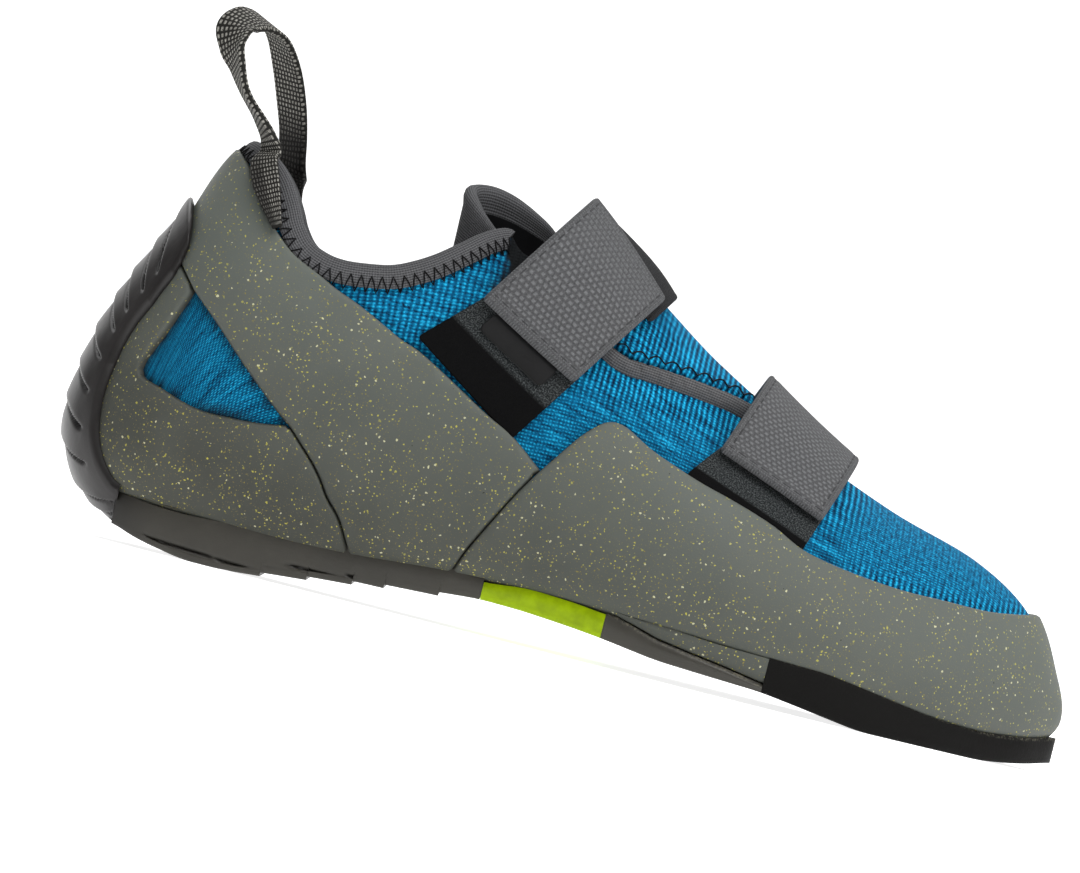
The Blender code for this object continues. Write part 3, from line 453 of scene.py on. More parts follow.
def knitMaterial(name):
    material, tree, surface = newMaterial(name, Roughness=0.85, Specular_IOR_Level=0.09)
    s, t = clothPlace(tree)
    window = fact(tree, "window")
    ribbed = fact(tree, "ribbed")
    toe = fact(tree, "toe")
    wobble = clothNoise(tree, s, t, 0.12, 2.0, 0.5)
    bent = plus(tree, s, times(tree, wobble, 1.2))
    rib = wavy(tree, bent, knitLook["rib"])
    row = wavy(tree, t, knitLook["row"], times(tree, bent, math.pi / knitLook["rib"]))
    loop = times(tree, rib, span(tree, row, 0.0, 1.0, 0.60, 1.0))
    weave = times(tree, span(tree, wavy(tree, s, 0.95), 0.0, 1.0, 0.3, 1.0), row)
    plain = blendFloat(tree, ribbed, weave, loop)
    grain = clothNoise(tree, s, t, 1.6, 4.0, 0.7)
    streak = clothNoise(tree, s, t, 0.10, 3.0, 0.6, scaleT=0.85)
    slant = plus(tree, times(tree, s, 0.55), t)
    windowStreak = clothNoise(tree, s, slant, 0.10, 4.0, 0.65, scaleT=0.42)
    windowCell = times(tree, wavy(tree, slant, 0.75), wavy(tree, s, 0.95))
    height = blendFloat(tree, window, plain, windowCell)
    mottle = clothNoise(tree, s, t, 0.75)
    mixed = blendFloat(tree, window, blendFloat(tree, toe, streak, mottle), windowStreak)
    weight = span(tree, ribbed, 0.0, 1.0, 0.42, 0.72)
    tone = plus(tree, times(tree, height, weight), times(tree, mixed, 1.30))
    tone = plus(tree, tone, times(tree, grain, 1.10))
    tone = calc(tree, "SUBTRACT", tone, times(tree, ribbed, 0.15))
    tone = plus(tree, tone, times(tree, window, 0.10))
    tone = span(tree, tone, 0.95, 1.80)
    lower = blendColor(tree, span(tree, tone, 0.0, 0.5), knitLook["dark"], knitLook["body"])
    color = blendColor(tree, span(tree, tone, 0.5, 1.0), lower, knitLook["light"])
    # the window's dark seam line, and painted shade at the collar's front
    color = blendColor(tree, fact(tree, "seamAndShadeDark"), color, knitLook["gusset"])
    setInputs(tree, surface, {"Base Color": color, "Normal": relief(tree, height, 0.00034, 1.0)})
    return material


# the rand rubber's colours, with a lit colour for painted light and a low one for painted shade
randLook = {"paintedLight": (0.096, 0.107, 0.096), "low": (0.043, 0.045, 0.038), "patch": (0.104, 0.108, 0.090),
            "speck": (0.440, 0.410, 0.050), "paleSpeck": (0.520, 0.500, 0.300),
            "ochreSpeck": (0.200, 0.165, 0.030), "darkSpeck": (0.010, 0.009, 0.008),
            "seam": (0.014, 0.014, 0.011), "shake": (0.0008, 0.0008, 0.0008)}


def specks(tree, place, scale, radius, share, clump=None):
    cells = addNode(tree, "TexVoronoi", {"Vector": place, "Scale": scale, "Randomness": 1.0})
    near = span(tree, cells.outputs["Distance"], radius, radius * 0.75)
    pick = addNode(tree, "SeparateColor", {0: cells.outputs["Color"]})
    if clump is not None:
        share = span(tree, clump, 0.36, 0.64, 0.35 * share, 1.3 * share)
    chosen = calc(tree, "LESS_THAN", pick.outputs[0], share)
    return times(tree, near, chosen), pick.outputs[1]


def randMaterial(name):
    material, tree, surface = newMaterial(name, Roughness=0.62, Specular_IOR_Level=0.22)
    place = objectPlace(tree)
    patchy = noiseOf(tree, place, 38.0, 3.0, 0.55)
    parts = addNode(tree, "SeparateXYZ", {0: place})
    # painted light and shade: darker low down at the heel, lighter up and towards the toe, where more light
    # falls
    lift = times(tree, parts.outputs[2], 1.6)
    lift = plus(tree, lift, times(tree, parts.outputs[0], 0.38))
    low = span(tree, plus(tree, lift, times(tree, patchy, 0.02)), 0.010, 0.105)
    color = blendColor(tree, low, randLook["low"], randLook["paintedLight"])
    color = blendColor(tree, span(tree, patchy, 0.4, 0.7, 0.0, 0.25), color, randLook["patch"])
    swirl = addNode(tree, "TexNoise", {"Vector": place, "Scale": 1500.0}).outputs["Color"]
    swirl = addNode(tree, "VectorMath", {0: swirl, 1: randLook["shake"]}, operation="MULTIPLY").outputs[0]
    shaken = addNode(tree, "VectorMath", {0: place, 1: swirl}, operation="ADD").outputs[0]
    clump = noiseOf(tree, place, 150.0, 1.0)
    big, kind = specks(tree, shaken, 680.0, 0.205, 0.50, clump)
    small, smallKind = specks(tree, shaken, 1150.0, 0.240, 0.66, clump)
    fine, _ = specks(tree, shaken, 1900.0, 0.260, 0.50)
    dark, _ = specks(tree, shaken, 300.0, 0.060, 0.20)
    speckColor = blendColor(tree, span(tree, kind, 0.55, 0.65), randLook["speck"], randLook["paleSpeck"])
    smallKind = span(tree, smallKind, 0.45, 0.55)
    smallColor = blendColor(tree, smallKind, randLook["ochreSpeck"], randLook["speck"])
    color = blendColor(tree, times(tree, fine, 0.35), color, randLook["ochreSpeck"])
    color = blendColor(tree, times(tree, small, 0.80), color, smallColor)
    bigShare = times(tree, big, span(tree, kind, 0.0, 1.0, 0.35, 0.95))
    color = blendColor(tree, bigShare, color, speckColor)
    color = blendColor(tree, times(tree, dark, 0.8), color, randLook["darkSpeck"])
    # darker within half a millimetre of the rand's edge, where it meets the knit
    color = blendColor(tree, span(tree, fact(tree, "edge"), 0.00045, 0.0, 0.0, 0.7), color, randLook["seam"])
    grain = noiseOf(tree, place, 1900.0, 3.0, 0.6)
    dents = noiseOf(tree, place, 90.0, 2.0, 0.5)
    normal = relief(tree, grain, 0.00006, 0.6)
    normal = relief(tree, dents, 0.0006, 0.25, normal)
    setInputs(tree, surface, {"Base Color": color, "Normal": normal,
                              "Roughness": span(tree, patchy, 0.3, 0.7, 0.56, 0.68)})
    return material


def rubberMaterial(name, color, rough, coat=0.0, dust=None, grainSize=900.0, grainDepth=0.00008, gloss=0.22):
    material, tree, surface = newMaterial(name, Coat_Weight=coat, Coat_Roughness=0.3,
                                          Specular_IOR_Level=gloss)
    place = objectPlace(tree)
    patchy = noiseOf(tree, place, 60.0, 3.0, 0.6)
    shade = blendColor(tree, span(tree, patchy, 0.35, 0.7, 0.0, 0.5), color, tuple(1.5 * c for c in color))
    if dust is not None:
        crumbs = span(tree, noiseOf(tree, place, 1300.0, 3.0, 0.7), 0.50, 0.62)
        specked = times(tree, fact(tree, "rim"), crumbs)
        shade = blendColor(tree, specked, shade, dust)
    # the dark fact: painted shade along grooves, and the darker rubber at the sole's heel end
    shade = blendColor(tree, fact(tree, "dark"), shade, (0.0030, 0.0028, 0.0028))
    grain = noiseOf(tree, place, grainSize, 3.0, 0.6)
    setInputs(tree, surface, {"Base Color": shade, "Normal": relief(tree, grain, grainDepth, 0.7),
                              "Roughness": span(tree, patchy, 0.3, 0.7, rough - 0.05, rough + 0.07)})
    return material


def webbingMaterial(name, color, gap, across=1.62, along=1.14, fade=(17.0, 33.0)):
    material, tree, surface = newMaterial(name, Roughness=0.9, Specular_IOR_Level=0.12)
    s, t = clothPlace(tree)
    row = calc(tree, "FLOOR", calc(tree, "DIVIDE", t, along))
    shift = times(tree, calc(tree, "MODULO", row, 2.0), math.pi)
    shaken = clothNoise(tree, s, t, 0.9, 2.0, 0.5)
    dash = wavy(tree, plus(tree, s, shaken), across, shift)
    lane = wavy(tree, t, along, -0.5 * math.pi)
    height = times(tree, span(tree, dash, 0.0, 0.62), span(tree, lane, 0.0, 0.80))
    fine = times(tree, wavy(tree, s, 0.7), wavy(tree, t, 0.6))
    mask = span(tree, t, fade[0], fade[1])
    border = span(tree, fact(tree, "border"), 0.0014, 0.0019)
    mask = calc(tree, "MAXIMUM", mask, calc(tree, "SUBTRACT", 1.0, border))
    height = blendFloat(tree, times(tree, mask, 0.8), height, fine)
    grain = clothNoise(tree, s, t, 3.0)
    tone = plus(tree, times(tree, height, 0.52), times(tree, grain, 0.95))
    shade = blendColor(tree, span(tree, tone, 0.28, 1.10), gap, color)
    setInputs(tree, surface, {"Base Color": shade, "Normal": relief(tree, height, 0.00030, 1.0)})
    return material


def ribbedMaterial(name, color, dark, period):
    material, tree, surface = newMaterial(name, Roughness=0.9, Specular_IOR_Level=0.12)
    s, t = clothPlace(tree)
    rib = wavy(tree, s, period)
    knots = wavy(tree, t, 0.65)
    grain = clothNoise(tree, s, t, 2.6)
    height = plus(tree, times(tree, rib, 0.7), times(tree, knots, 0.3))
    tone = plus(tree, times(tree, height, 0.5), times(tree, grain, 0.6))
    shade = blendColor(tree, span(tree, tone, 0.25, 0.85), dark, color)
    setInputs(tree, surface, {"Base Color": shade, "Normal": relief(tree, height, 0.00014, 0.8)})
    return material


def hookMaterial(name):
    material, tree, surface = newMaterial(name, Roughness=0.95, Specular_IOR_Level=0.08)
    s, t = clothPlace(tree)
    fuzz = clothNoise(tree, s, t, 2.4, 4.0, 0.75)
    shade = blendColor(tree, span(tree, fuzz, 0.46, 0.66), (0.0090, 0.0105, 0.0110), (0.090, 0.098, 0.100))
    shade = blendColor(tree, fact(tree, "band"), shade, (0.0030, 0.0030, 0.0032))
    setInputs(tree, surface, {"Base Color": shade, "Normal": relief(tree, fuzz, 0.00035, 0.8)})
    return material


loopLook = {"gap": (0.013, 0.0125, 0.011), "thread": (0.330, 0.320, 0.290), "dark": (0.008, 0.0075, 0.007),
            "lane": 1.25, "thick": 1.22}


def loopMaterial(name):
    material, tree, surface = newMaterial(name, Roughness=0.8, Specular_IOR_Level=0.15)
    s, t = clothPlace(tree)
    row = calc(tree, "FLOOR", calc(tree, "DIVIDE", t, loopLook["lane"]))
    lean = times(tree, calc(tree, "MODULO", row, 2.0), 1.1)
    thread = wavy(tree, s, loopLook["thick"], lean)
    lane = wavy(tree, t, loopLook["lane"], -0.5 * math.pi)
    height = times(tree, thread, span(tree, lane, 0.05, 0.6))
    grain = clothNoise(tree, s, t, 2.2)
    light = times(tree, span(tree, height, 0.25, 0.75), span(tree, grain, 0.32, 0.56))
    shade = blendColor(tree, light, loopLook["gap"], loopLook["thread"])
    shade = blendColor(tree, fact(tree, "dark"), shade, loopLook["dark"])
    setInputs(tree, surface, {"Base Color": shade, "Normal": relief(tree, height, 0.0003, 0.9)})
    return material


def plainMaterial(name, color, rough, **more):
    material, tree, surface = newMaterial(name, Roughness=rough, **more)
    place = objectPlace(tree)
    patchy = noiseOf(tree, place, 300.0, 3.0, 0.6)
    shade = blendColor(tree, span(tree, patchy, 0.35, 0.7), color, tuple(1.35 * c for c in color))
    normal = relief(tree, noiseOf(tree, place, 1600.0, 2.0), 0.00005, 0.6)
    setInputs(tree, surface, {"Base Color": shade, "Normal": normal})
    return material


lines = {
    "collar": [(0.060, 1.0097), (0.104, 1.0097), (0.126, 0.9915), (0.148, 0.9428), (0.1625, 0.8861),
               (0.172, 0.8402), (0.185, 0.8014), (0.203, 0.7806), (0.222, 0.7738), (0.245, 0.7782),
               (0.268, 0.789), (0.288, 0.812), (0.307, 0.842), (0.327, 0.882), (0.347, 0.922),
               (0.367, 0.942), (0.378, 0.915), (0.392, 0.900), (0.410, 0.935), (0.432, 1.030),
               (0.450, 1.120)],
    "randRear": [(0.075, 1.0057), (0.097, 1.0016), (0.102, 0.9794), (0.116, 0.9380), (0.127, 0.8916),
                 (0.139, 0.8476), (0.149, 0.8228), (0.173, 0.7720), (0.201, 0.7382), (0.221, 0.7131),
                 (0.250, 0.6835), (0.290, 0.636), (0.312, 0.617), (0.346, 0.571), (0.388, 0.512),
                 (0.417, 0.477), (0.4515, 0.413)],
    "randFront": [(0.4515, 0.413), (0.4685, 0.474), (0.486, 0.529), (0.503, 0.5615), (0.521, 0.558),
                  (0.551, 0.519), (0.596, 0.479), (0.636, 0.452), (0.678, 0.416), (0.7105, 0.378),
                  (0.755, 0.356), (0.808, 0.343), (0.8535, 0.343), (0.899, 0.344), (0.9455, 0.360)],
    "frontSeam": [(0.4515, 0.413), (0.435, 0.345), (0.4155, 0.253), (0.396, 0.158), (0.375, 0.050)],
    "heelSeamTop": [(-0.030, 0.7724), (0.0755, 0.6795), (0.0912, 0.6280)],
    "heelSeamLow": [(0.2087, 0.3724), (0.243, 0.2889), (0.261, 0.228), (0.2806, 0.175), (0.310, 0.050)],
    "windowFront": [(0.0912, 0.6280), (0.122, 0.5604), (0.155, 0.4828), (0.193, 0.4010), (0.2087, 0.3724)],
    "windowBack": [(0.0912, 0.6280), (0.076, 0.5250), (0.0603, 0.4165), (0.0835, 0.3857), (0.120, 0.3595),
                   (0.156, 0.3578), (0.183, 0.3621), (0.2087, 0.3724)],
    "flap": [(0.402, 0.905), (0.422, 0.850), (0.455, 0.795), (0.4955, 0.727), (0.537, 0.7135),
             (0.5815, 0.702), (0.624, 0.683), (0.675, 0.635), (0.725, 0.560)],
    "flapRear": [(0.465, 1.100), (0.433, 1.000), (0.405, 0.880), (0.370, 0.740), (0.335, 0.600)],
}
smooth = {name: smoothLine(sideLine(points)) for name, points in lines.items()}
smooth["heelSeamTop"] = np.array(sideLine(lines["heelSeamTop"]))
deep = -0.02
far = 1.05 * length
rearX = -0.15 * length

table, gridTriangles = lastGrid()
tablePoints = lastPoint(table[:, 0], table[:, 1])
sideView = tablePoints[:, (0, 2)]


def ringArc():
    # distance along the crest and round the section, in millimetres, for the cloth's weave
    crest = lastPoint(gridRows, np.full_like(gridRows, 0.5 * math.pi))
    places = lastPoint(*np.meshgrid(gridRows, gridAngles, indexing="ij"))
    roundArc = np.cumsum(np.linalg.norm(np.diff(places, axis=1), axis=2), axis=1)
    roundArc = np.hstack((np.zeros((len(gridRows), 1)), roundArc))
    middle = roundArc[:, [grid["around"] // 2]]
    return arcOf(crest) * 1000, (roundArc - middle) * 1000


arcAlong, arcRound = ringArc()


def clothUv(u, a):
    s = np.interp(u, gridRows, arcAlong)
    row = np.clip(u / lastRow * grid["along"], 0, grid["along"] - 0.001)
    col = np.clip((a + 0.5 * math.pi) / (2 * math.pi) * grid["around"], 0, grid["around"] - 0.001)
    r, c = row.astype(int), col.astype(int)
    fr, fc = row - r, col - c
    t = (arcRound[r, c] * (1 - fr) * (1 - fc) + arcRound[r + 1, c] * fr * (1 - fc)
         + arcRound[r, c + 1] * (1 - fr) * fc + arcRound[r + 1, c + 1] * fr * fc)
    return np.stack((s, t), axis=1)


# the opening under the foot: in from the sides in metres, its ends in shares of length, its top in metres
opening = {"margin": 0.012, "rear": 0.075, "front": 0.925, "top": 0.0033}


def underOpening(points, u):
    # positive outside the opening
    half = atRow("half", u) - opening["margin"]
    side = np.abs(points[:, 1] - atRow("centre", u)) - half
    ends = np.maximum(opening["rear"] * length - points[:, 0], points[:, 0] - opening["front"] * length)
    above = points[:, 2] - (atRow("middle", u) - atRow("low", u)) - opening["top"]
    return np.maximum(np.maximum(side, ends), above)


def regionOf(parts):
    best = np.full(len(table), -1.0)
    for outline, low, high in parts:
        inside = insideDistance(sideView, outline)
        y = tablePoints[:, 1]
        best = np.maximum(best, np.minimum(inside, np.minimum(y - low, high - y)))
    return np.minimum(best, underOpening(tablePoints, table[:, 0]))


def overlaySkin(name, distance, wall, edgeWidth, material, facts=None):
    # a skin of the last where distance is above 0, rounded down to the knit at its edges
    rows = np.column_stack((table, distance))
    rows, faces = keepAbove(rows, gridTriangles, 2, 0.0)
    for share in (0.12, 0.4, 1.0):
        rows, faces = splitAlong(rows, faces, 2, share * edgeWidth)
    base = lastPoint(rows[:, 0], rows[:, 1])
    rise = roundedAt(rows[:, 2], edgeWidth)
    offset = last["under"] + (last["fit"] + wall - last["under"]) * rise + creaseLift(base)
    points = skinPoint(rows[:, 0], rows[:, 1], offset)
    values = {"edge": rows[:, 2]}
    for key, maker in (facts or {}).items():
        values[key] = maker(rows, base)
    return addPiece(name, points, faces, material, clothUv(rows[:, 0], rows[:, 1]), values)


allWidth = (-0.09, 0.09)
windowOutline = np.vstack((smooth["windowFront"], smooth["windowBack"][::-1][1:-1]))
# marks of the knit's facts; the last fade softens the edge of the painted shade at the collar's front
knitMarks = {"toeStart": 0.735, "toeFull": 0.775, "toeShare": 0.30, "flapDepth": 0.0125, "randDepth": 0.0035,
             "rearEnd": 0.40, "rearFade": 0.03, "rearShare": 0.7, "windowRim": 0.004, "windowSeam": 0.0007,
             "seamShare": 0.85, "gussetFade": 0.0012}


def windowFact(rows, base):
    inside = insideDistance(base[:, (0, 2)], windowOutline)
    return (inside > -knitMarks["windowRim"]).astype(float)


def toeFact(rows, base):
    x = base[:, 0] / length
    return np.clip((x - knitMarks["toeStart"]) / (knitMarks["toeFull"] - knitMarks["toeStart"]), 0, 1)


# the outline where shade is painted on the knit at the collar's front, in shares of length and height
gusset = np.array(sideLine([(0.361, 0.790), (0.372, 0.865), (0.366, 0.903), (0.362, 0.965), (0.380, 1.030),
                            (0.450, 1.100), (0.450, 0.800)]))


def seamFact(rows, base):
    # the dark line along the window's edge, and painted shade at the collar's front
    away = np.abs(insideDistance(base[:, (0, 2)], windowOutline))
    dark = np.clip(0.5 + insideDistance(base[:, (0, 2)], gusset) / knitMarks["gussetFade"], 0, 1)
    return np.maximum(knitMarks["seamShare"] * np.exp(-(away / knitMarks["windowSeam"]) ** 2), dark)


def ribFact(rows, base):
    # where the knit's ribs stand out: below the flap, along the toe's rand and at the rear
    flat = base[:, (0, 2)]
    nearFlap = np.clip(1.6 - lineDistance(flat, smooth["flap"]) / knitMarks["flapDepth"], 0, 1)
    nearRand = np.clip(1.5 - lineDistance(flat, smooth["randFront"]) / knitMarks["randDepth"], 0, 1)
    rear = np.clip((knitMarks["rearEnd"] - base[:, 0] / length) / knitMarks["rearFade"], 0, 1)
    toe = toeFact(rows, base) * np.maximum(nearRand, knitMarks["toeShare"])
    return np.maximum(np.maximum(toe, nearFlap), knitMarks["rearShare"] * rear)


knitFacts = {"window": windowFact, "seamAndShadeDark": seamFact, "ribbed": ribFact, "toe": toeFact}


def belowCollar():
    line = smooth["collar"]
    rear = [(rearX, -0.1), (rearX, line[0][1])]
    return np.vstack((rear, line, [(line[-1][0], 0.14), (far, 0.14), (far, -0.1)]))


def buildUpper():
    cloth = knitMaterial("knit")
    lining = plainMaterial("lining", (0.014, 0.014, 0.015), 0.9, Specular_IOR_Level=0.1)
    distance = np.minimum(insideDistance(sideView, belowCollar()), underOpening(tablePoints, table[:, 0]))
    rows = np.column_stack((table, distance))
    rows, faces = keepAbove(rows, gridTriangles, 2, 0.0)
    base = lastPoint(rows[:, 0], rows[:, 1])
    outer = skinPoint(rows[:, 0], rows[:, 1], creaseLift(base))
    inner = skinPoint(rows[:, 0], rows[:, 1], -last["wall"] + creaseLift(base))
    count = len(rows)
    edges = np.sort(np.vstack((faces[:, :2], faces[:, 1:], faces[:, (2, 0)])), axis=1)
    single, uses = np.unique(edges, axis=0, return_counts=True)
    rim = single[uses == 1]
    rimFaces = [(a, b, b + count, a + count) for a, b in rim.tolist()]
    allFaces = faces.tolist() + [(a + count, c + count, b + count) for a, b, c in faces.tolist()] + rimFaces
    uv = clothUv(rows[:, 0], rows[:, 1])
    facts = {key: np.tile(maker(rows, base), 2) for key, maker in knitFacts.items()}
    upper = addPiece("upper_knit", np.vstack((outer, inner)), allFaces, cloth, np.vstack((uv, uv)), facts)
    upper.data.materials.append(lining)
    kinds = np.zeros(len(upper.data.polygons), np.int32)
    kinds[len(faces):] = 1
    upper.data.polygons.foreach_set("material_index", kinds)
    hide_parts("upper")
    return cloth


knit = buildUpper()
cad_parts["insole"].data.materials.clear()
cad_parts["insole"].data.materials.append(plainMaterial("footbed", (0.022, 0.022, 0.023), 0.95))
print("stage: upper and insole")


rands = {"edge": 0.0009, "material": randMaterial("rand_rubber")}


def buildRands():
    rubber = rands["material"]
    seam = smooth["frontSeam"]
    top = smooth["randFront"]
    front = np.vstack((top, [(far, top[-1][1]), (far, deep), (seam[-1][0], deep)], seam[::-1][:-1]))
    heelLow = smooth["heelSeamLow"]
    heelTop = smooth["heelSeamTop"]
    rear = smooth["randRear"]
    sling = np.vstack(([(heelTop[0][0], 0.12), (rear[0][0], 0.12)], rear, seam[1:],
                       [(seam[-1][0], deep), (heelLow[-1][0], deep)], heelLow[::-1],
                       smooth["windowFront"][::-1][1:-1], heelTop[::-1]))
    window = smooth["windowBack"][1:-1]
    heel = np.vstack((heelTop, window, heelLow, [(heelLow[-1][0], deep), (heelTop[0][0], deep)]))
    for name, outline in (("front_rand", front), ("slingshot_rand", sling), ("heel_rand", heel)):
        distance = regionOf([(outline, *allWidth)])
        piece = overlaySkin(name + "_skin", distance, last["rand"], rands["edge"], rubber)
        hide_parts(name)


buildRands()
print("stage: rands")


flap = {"wall": 0.0017, "edge": 0.0012, "front": 0.7235, "top": 0.15, "crossing": 0.0060, "overlap": 0.002,
        "randGap": 0.0006, "bindingWidth": 0.0037, "bindingWall": 0.0011, "bindingEdge": 0.0021}


def buildFlap():
    front = flap["front"] * length
    rear = smooth["flapRear"]
    line = smooth["flap"]
    line = line[line[:, 0] < front]
    corners = [(front, flap["top"]), (rear[0][0], flap["top"])]
    lateral = np.vstack((line, [(front, line[-1][1])], corners, rear[:6]))
    top = np.vstack((smooth["randRear"][60:-1], smooth["randFront"])) + (0, flap["randGap"])
    top = top[(top[:, 0] > rear[-1][0]) & (top[:, 0] < front)]
    medial = np.vstack((top, [(front, top[-1][1])], corners, rear))
    over = flap["crossing"] + flap["overlap"]
    distance = regionOf([(lateral, allWidth[0], over), (medial, flap["crossing"], allWidth[1])])
    piece = overlaySkin("medial_flap_knit", distance, flap["wall"], flap["edge"], knit, knitFacts)
    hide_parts("medial_flap")
    low = line - (0, last["fit"])
    width = flap["bindingWidth"] * np.linspace(1.15, 0.70, len(low))
    strip = np.vstack((low, (low - np.column_stack((0 * width, width)))[::-1]))
    distance = regionOf([(strip, allWidth[0], 0.0)])
    ribbed = ribbedMaterial("flap_binding", (0.130, 0.131, 0.137), (0.026, 0.026, 0.027), 0.62)
    wall = flap["wall"] + flap["bindingWall"]
    piece = overlaySkin("flap_binding_strip", distance, wall, flap["bindingEdge"], ribbed)
    lineUv(piece, low)
    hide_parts("flap_binding")
    return low


def lineUv(piece, line):
    # the cloth's place follows a line of the side view
    co = np.array([v.co for v in piece.data.vertices]) - shoePlace
    flat = co[:, (0, 2)]
    arc = arcOf(line)
    best = np.full(len(flat), 1e9)
    at = np.zeros(len(flat))
    away = np.zeros(len(flat))
    for k, (start, end) in enumerate(zip(line[:-1], line[1:])):
        run = end - start
        share = np.clip(((flat - start) @ run) / (run @ run), 0, 1)
        gap = flat - start - share[:, None] * run
        size = (gap ** 2).sum(1)
        closer = size < best
        best = np.where(closer, size, best)
        at = np.where(closer, arc[k] + share * (arc[k + 1] - arc[k]), at)
        side = run[0] * gap[:, 1] - run[1] * gap[:, 0]
        away = np.where(closer, side / np.linalg.norm(run), away)
    setCloth(piece.data, np.stack((away, at), axis=1) * 1000)


flapEdge = buildFlap()
print("stage: flap")


def surfaceTree(offset):
    points = skinPoint(table[:, 0], table[:, 1], np.full(len(table), offset))
    return BVHTree.FromPolygons(points.tolist(), gridTriangles.tolist())


# surfaces that rays are cast on, by how far they stand off the last
offsets = {"bare": 0.0, "far": 0.006, "overRands": 0.0024}
trees = {name: surfaceTree(offset) for name, offset in offsets.items()}


def castAll(tree, origins, ways):
    # how far each ray runs to the surface, with no number where it misses
    found = np.full(len(origins), np.nan)
    for k, (origin, way) in enumerate(zip(origins.tolist(), ways.tolist())):
        place, _, _, away = tree.ray_cast(origin, way)
        if place is not None:
            found[k] = away
    return found


def sideSpot(x, z, lateral=True):
    # row and angle where the last's side reaches this height
    u = rowAtX(x)
    low, _ = closeIn(np.zeros_like(x), np.full_like(x, 0.5 * math.pi), lambda a: lastPoint(u, a)[..., 2] < z)
    return u, np.where(lateral, math.pi - low, low)


def addThread(name, points, normals, radius, material, sides=6):
    # a thin tube along the points
    run = unit(np.gradient(points, axis=0))
    across = unit(np.cross(run, normals))
    up = np.cross(across, run)
    turns = np.linspace(0, 2 * math.pi, sides, endpoint=False)
    radius = np.broadcast_to(np.asarray(radius, float), (len(points),))[:, None, None]
    around = np.cos(turns)[:, None] * across[:, None] + np.sin(turns)[:, None] * up[:, None]
    rings = points[:, None] + radius * around
    return addLoft(name, rings, material, pairsOf(arcOf(points) * 1000, turns))


def addStitches(name, starts, ends, normals, size, material):
    # separate stitches, each a small bead from its start to its end, as one mesh
    bead = ((0.0, 0.35), (0.15, 0.9), (0.5, 1.0), (0.85, 0.9), (1.0, 0.35))
    sides = 6
    run = unit(ends - starts)
    across = unit(np.cross(run, normals))
    turns = np.linspace(0, 2 * math.pi, sides, endpoint=False)
    count = len(bead) * sides
    points = []
    for share, fat in bead:
        middle = starts + (ends - starts) * share
        for turn in turns:
            points.append(middle + size * fat * (math.cos(turn) * across + 0.7 * math.sin(turn) * normals))
    points = np.stack(points, axis=1).reshape(-1, 3)
    one = gridFaces(len(bead), sides, closed=True)
    one += [tuple(reversed(range(sides))), tuple(range(count - sides, count))]
    faces = [tuple(k * count + v for v in face) for k in range(len(starts)) for face in one]
    return addPiece(name, points, faces, material, np.zeros((len(points), 2)))


# the sole: shares of length, then of its height, and inset as a share of the ball width
sole = {"height": 0.0100, "bevel": 0.0014, "lip": 0.0005, "bulge": 0.00035, "heelEnd": 0.0663,
        "insertRear": 0.4252, "insertFront": 0.5450, "waistFront": 0.7050, "seam": 0.00004,
        "treadStep": 0.0009, "treads": (0.1835, 0.2165, 0.2605, 0.3035, 0.3340, 0.3860),
        "strip": ((0.545, 1.370), (0.596, 0.989), (0.630, 0.855), (0.662, 0.742), (0.705, 0.556)),
        "groove": 0.00085, "grooveHalf": 0.00042, "fade": 0.010, "tipFrom": 0.925, "insertLip": 0.0019,
        "stripLip": 0.0008, "across": 30, "up": 26, "castFrom": -0.05, "least": 0.0001, "crumbs": 0.0008,
        "grey": (0.034, 0.0320, 0.0265), "greyDust": (0.13, 0.12, 0.085), "lime": (0.200, 0.290, 0.0003),
        "black": (0.0030, 0.0028, 0.0025), "blackDust": (0.10, 0.095, 0.07)}
soleRows = {
    "x": (0.064, 0.094, 0.115, 0.140, 0.183, 0.216, 0.260, 0.303, 0.334, 0.386, 0.425, 0.467,
          0.512, 0.545, 0.600, 0.650, 0.705, 0.760, 0.804, 0.870, 0.930, 0.965, 0.990, 1.000),
    "under": (0.484, 0.216, 0.124, 0.000, 0.000, 0.165, 0.350, 0.515, 0.628, 0.783, 0.865, 0.845,
              0.762, 0.680, 0.484, 0.422, 0.360, 0.165, 0.000, 0.000, 0.000, 0.124, 0.268, 0.350),
    "rim": (1.339, 1.231, 1.184, 1.195, 1.257, 1.360, 1.442, 1.452, 1.483, 1.524, 1.493, 1.627,
            1.576, 1.483, 1.442, 1.339, 1.308, 1.287, 1.123, 0.839, 0.721, 0.793, 0.937, 0.968),
    "inset": (0.064, 0.064, 0.064, 0.064, 0.064, 0.063, 0.062, 0.060, 0.058, 0.056, 0.052, 0.045,
              0.040, 0.034, 0.023, 0.016, 0.011, 0.008, 0.010, 0.017, 0.015, 0.008, 0.004, 0.003),
}
# grooves along the sole's side, from rear to front: x as a share of length, z of the sole's height
scaleLines = (((0.0950, 0.330), (0.1713, 0.240)), ((0.1158, 0.133), (0.1846, 0.096)),
              ((0.1695, 0.228), (0.2156, 0.171)), ((0.2175, 0.300), (0.2595, 0.355)),
              ((0.2389, 0.528), (0.2995, 0.515)), ((0.2950, 0.640), (0.3330, 0.600)))


def soleValue(name, x):
    places = np.array(soleRows["x"]) * length
    scale = last["ballWidth"] if name == "inset" else sole["height"]
    values = np.array(soleRows[name]) * scale
    shifts = (-0.003, -0.0015, 0, 0.0015, 0.003)
    return np.mean([np.interp(x + shift, places, values) for shift in shifts], axis=0)


def planOutline(side):
    u = np.linspace(0, lastRow, 321)
    spots = np.stack((atRow("x", u), atRow("centre", u) + side * atRow("half", u)), axis=1)
    run = np.gradient(spots, axis=0)
    run[0], run[-1] = (0, side), (0, -side)
    out = unit(np.stack((-run[:, 1], run[:, 0]), axis=1) * side)
    pushed = spots + out * (offsets["overRands"] - soleValue("inset", spots[:, 0]))[:, None]
    return np.maximum.accumulate(pushed[:, 0]), pushed[:, 1]


outlines = {side: planOutline(side) for side in (-1, 1)}
toeTip = float(outlines[1][0][-1])


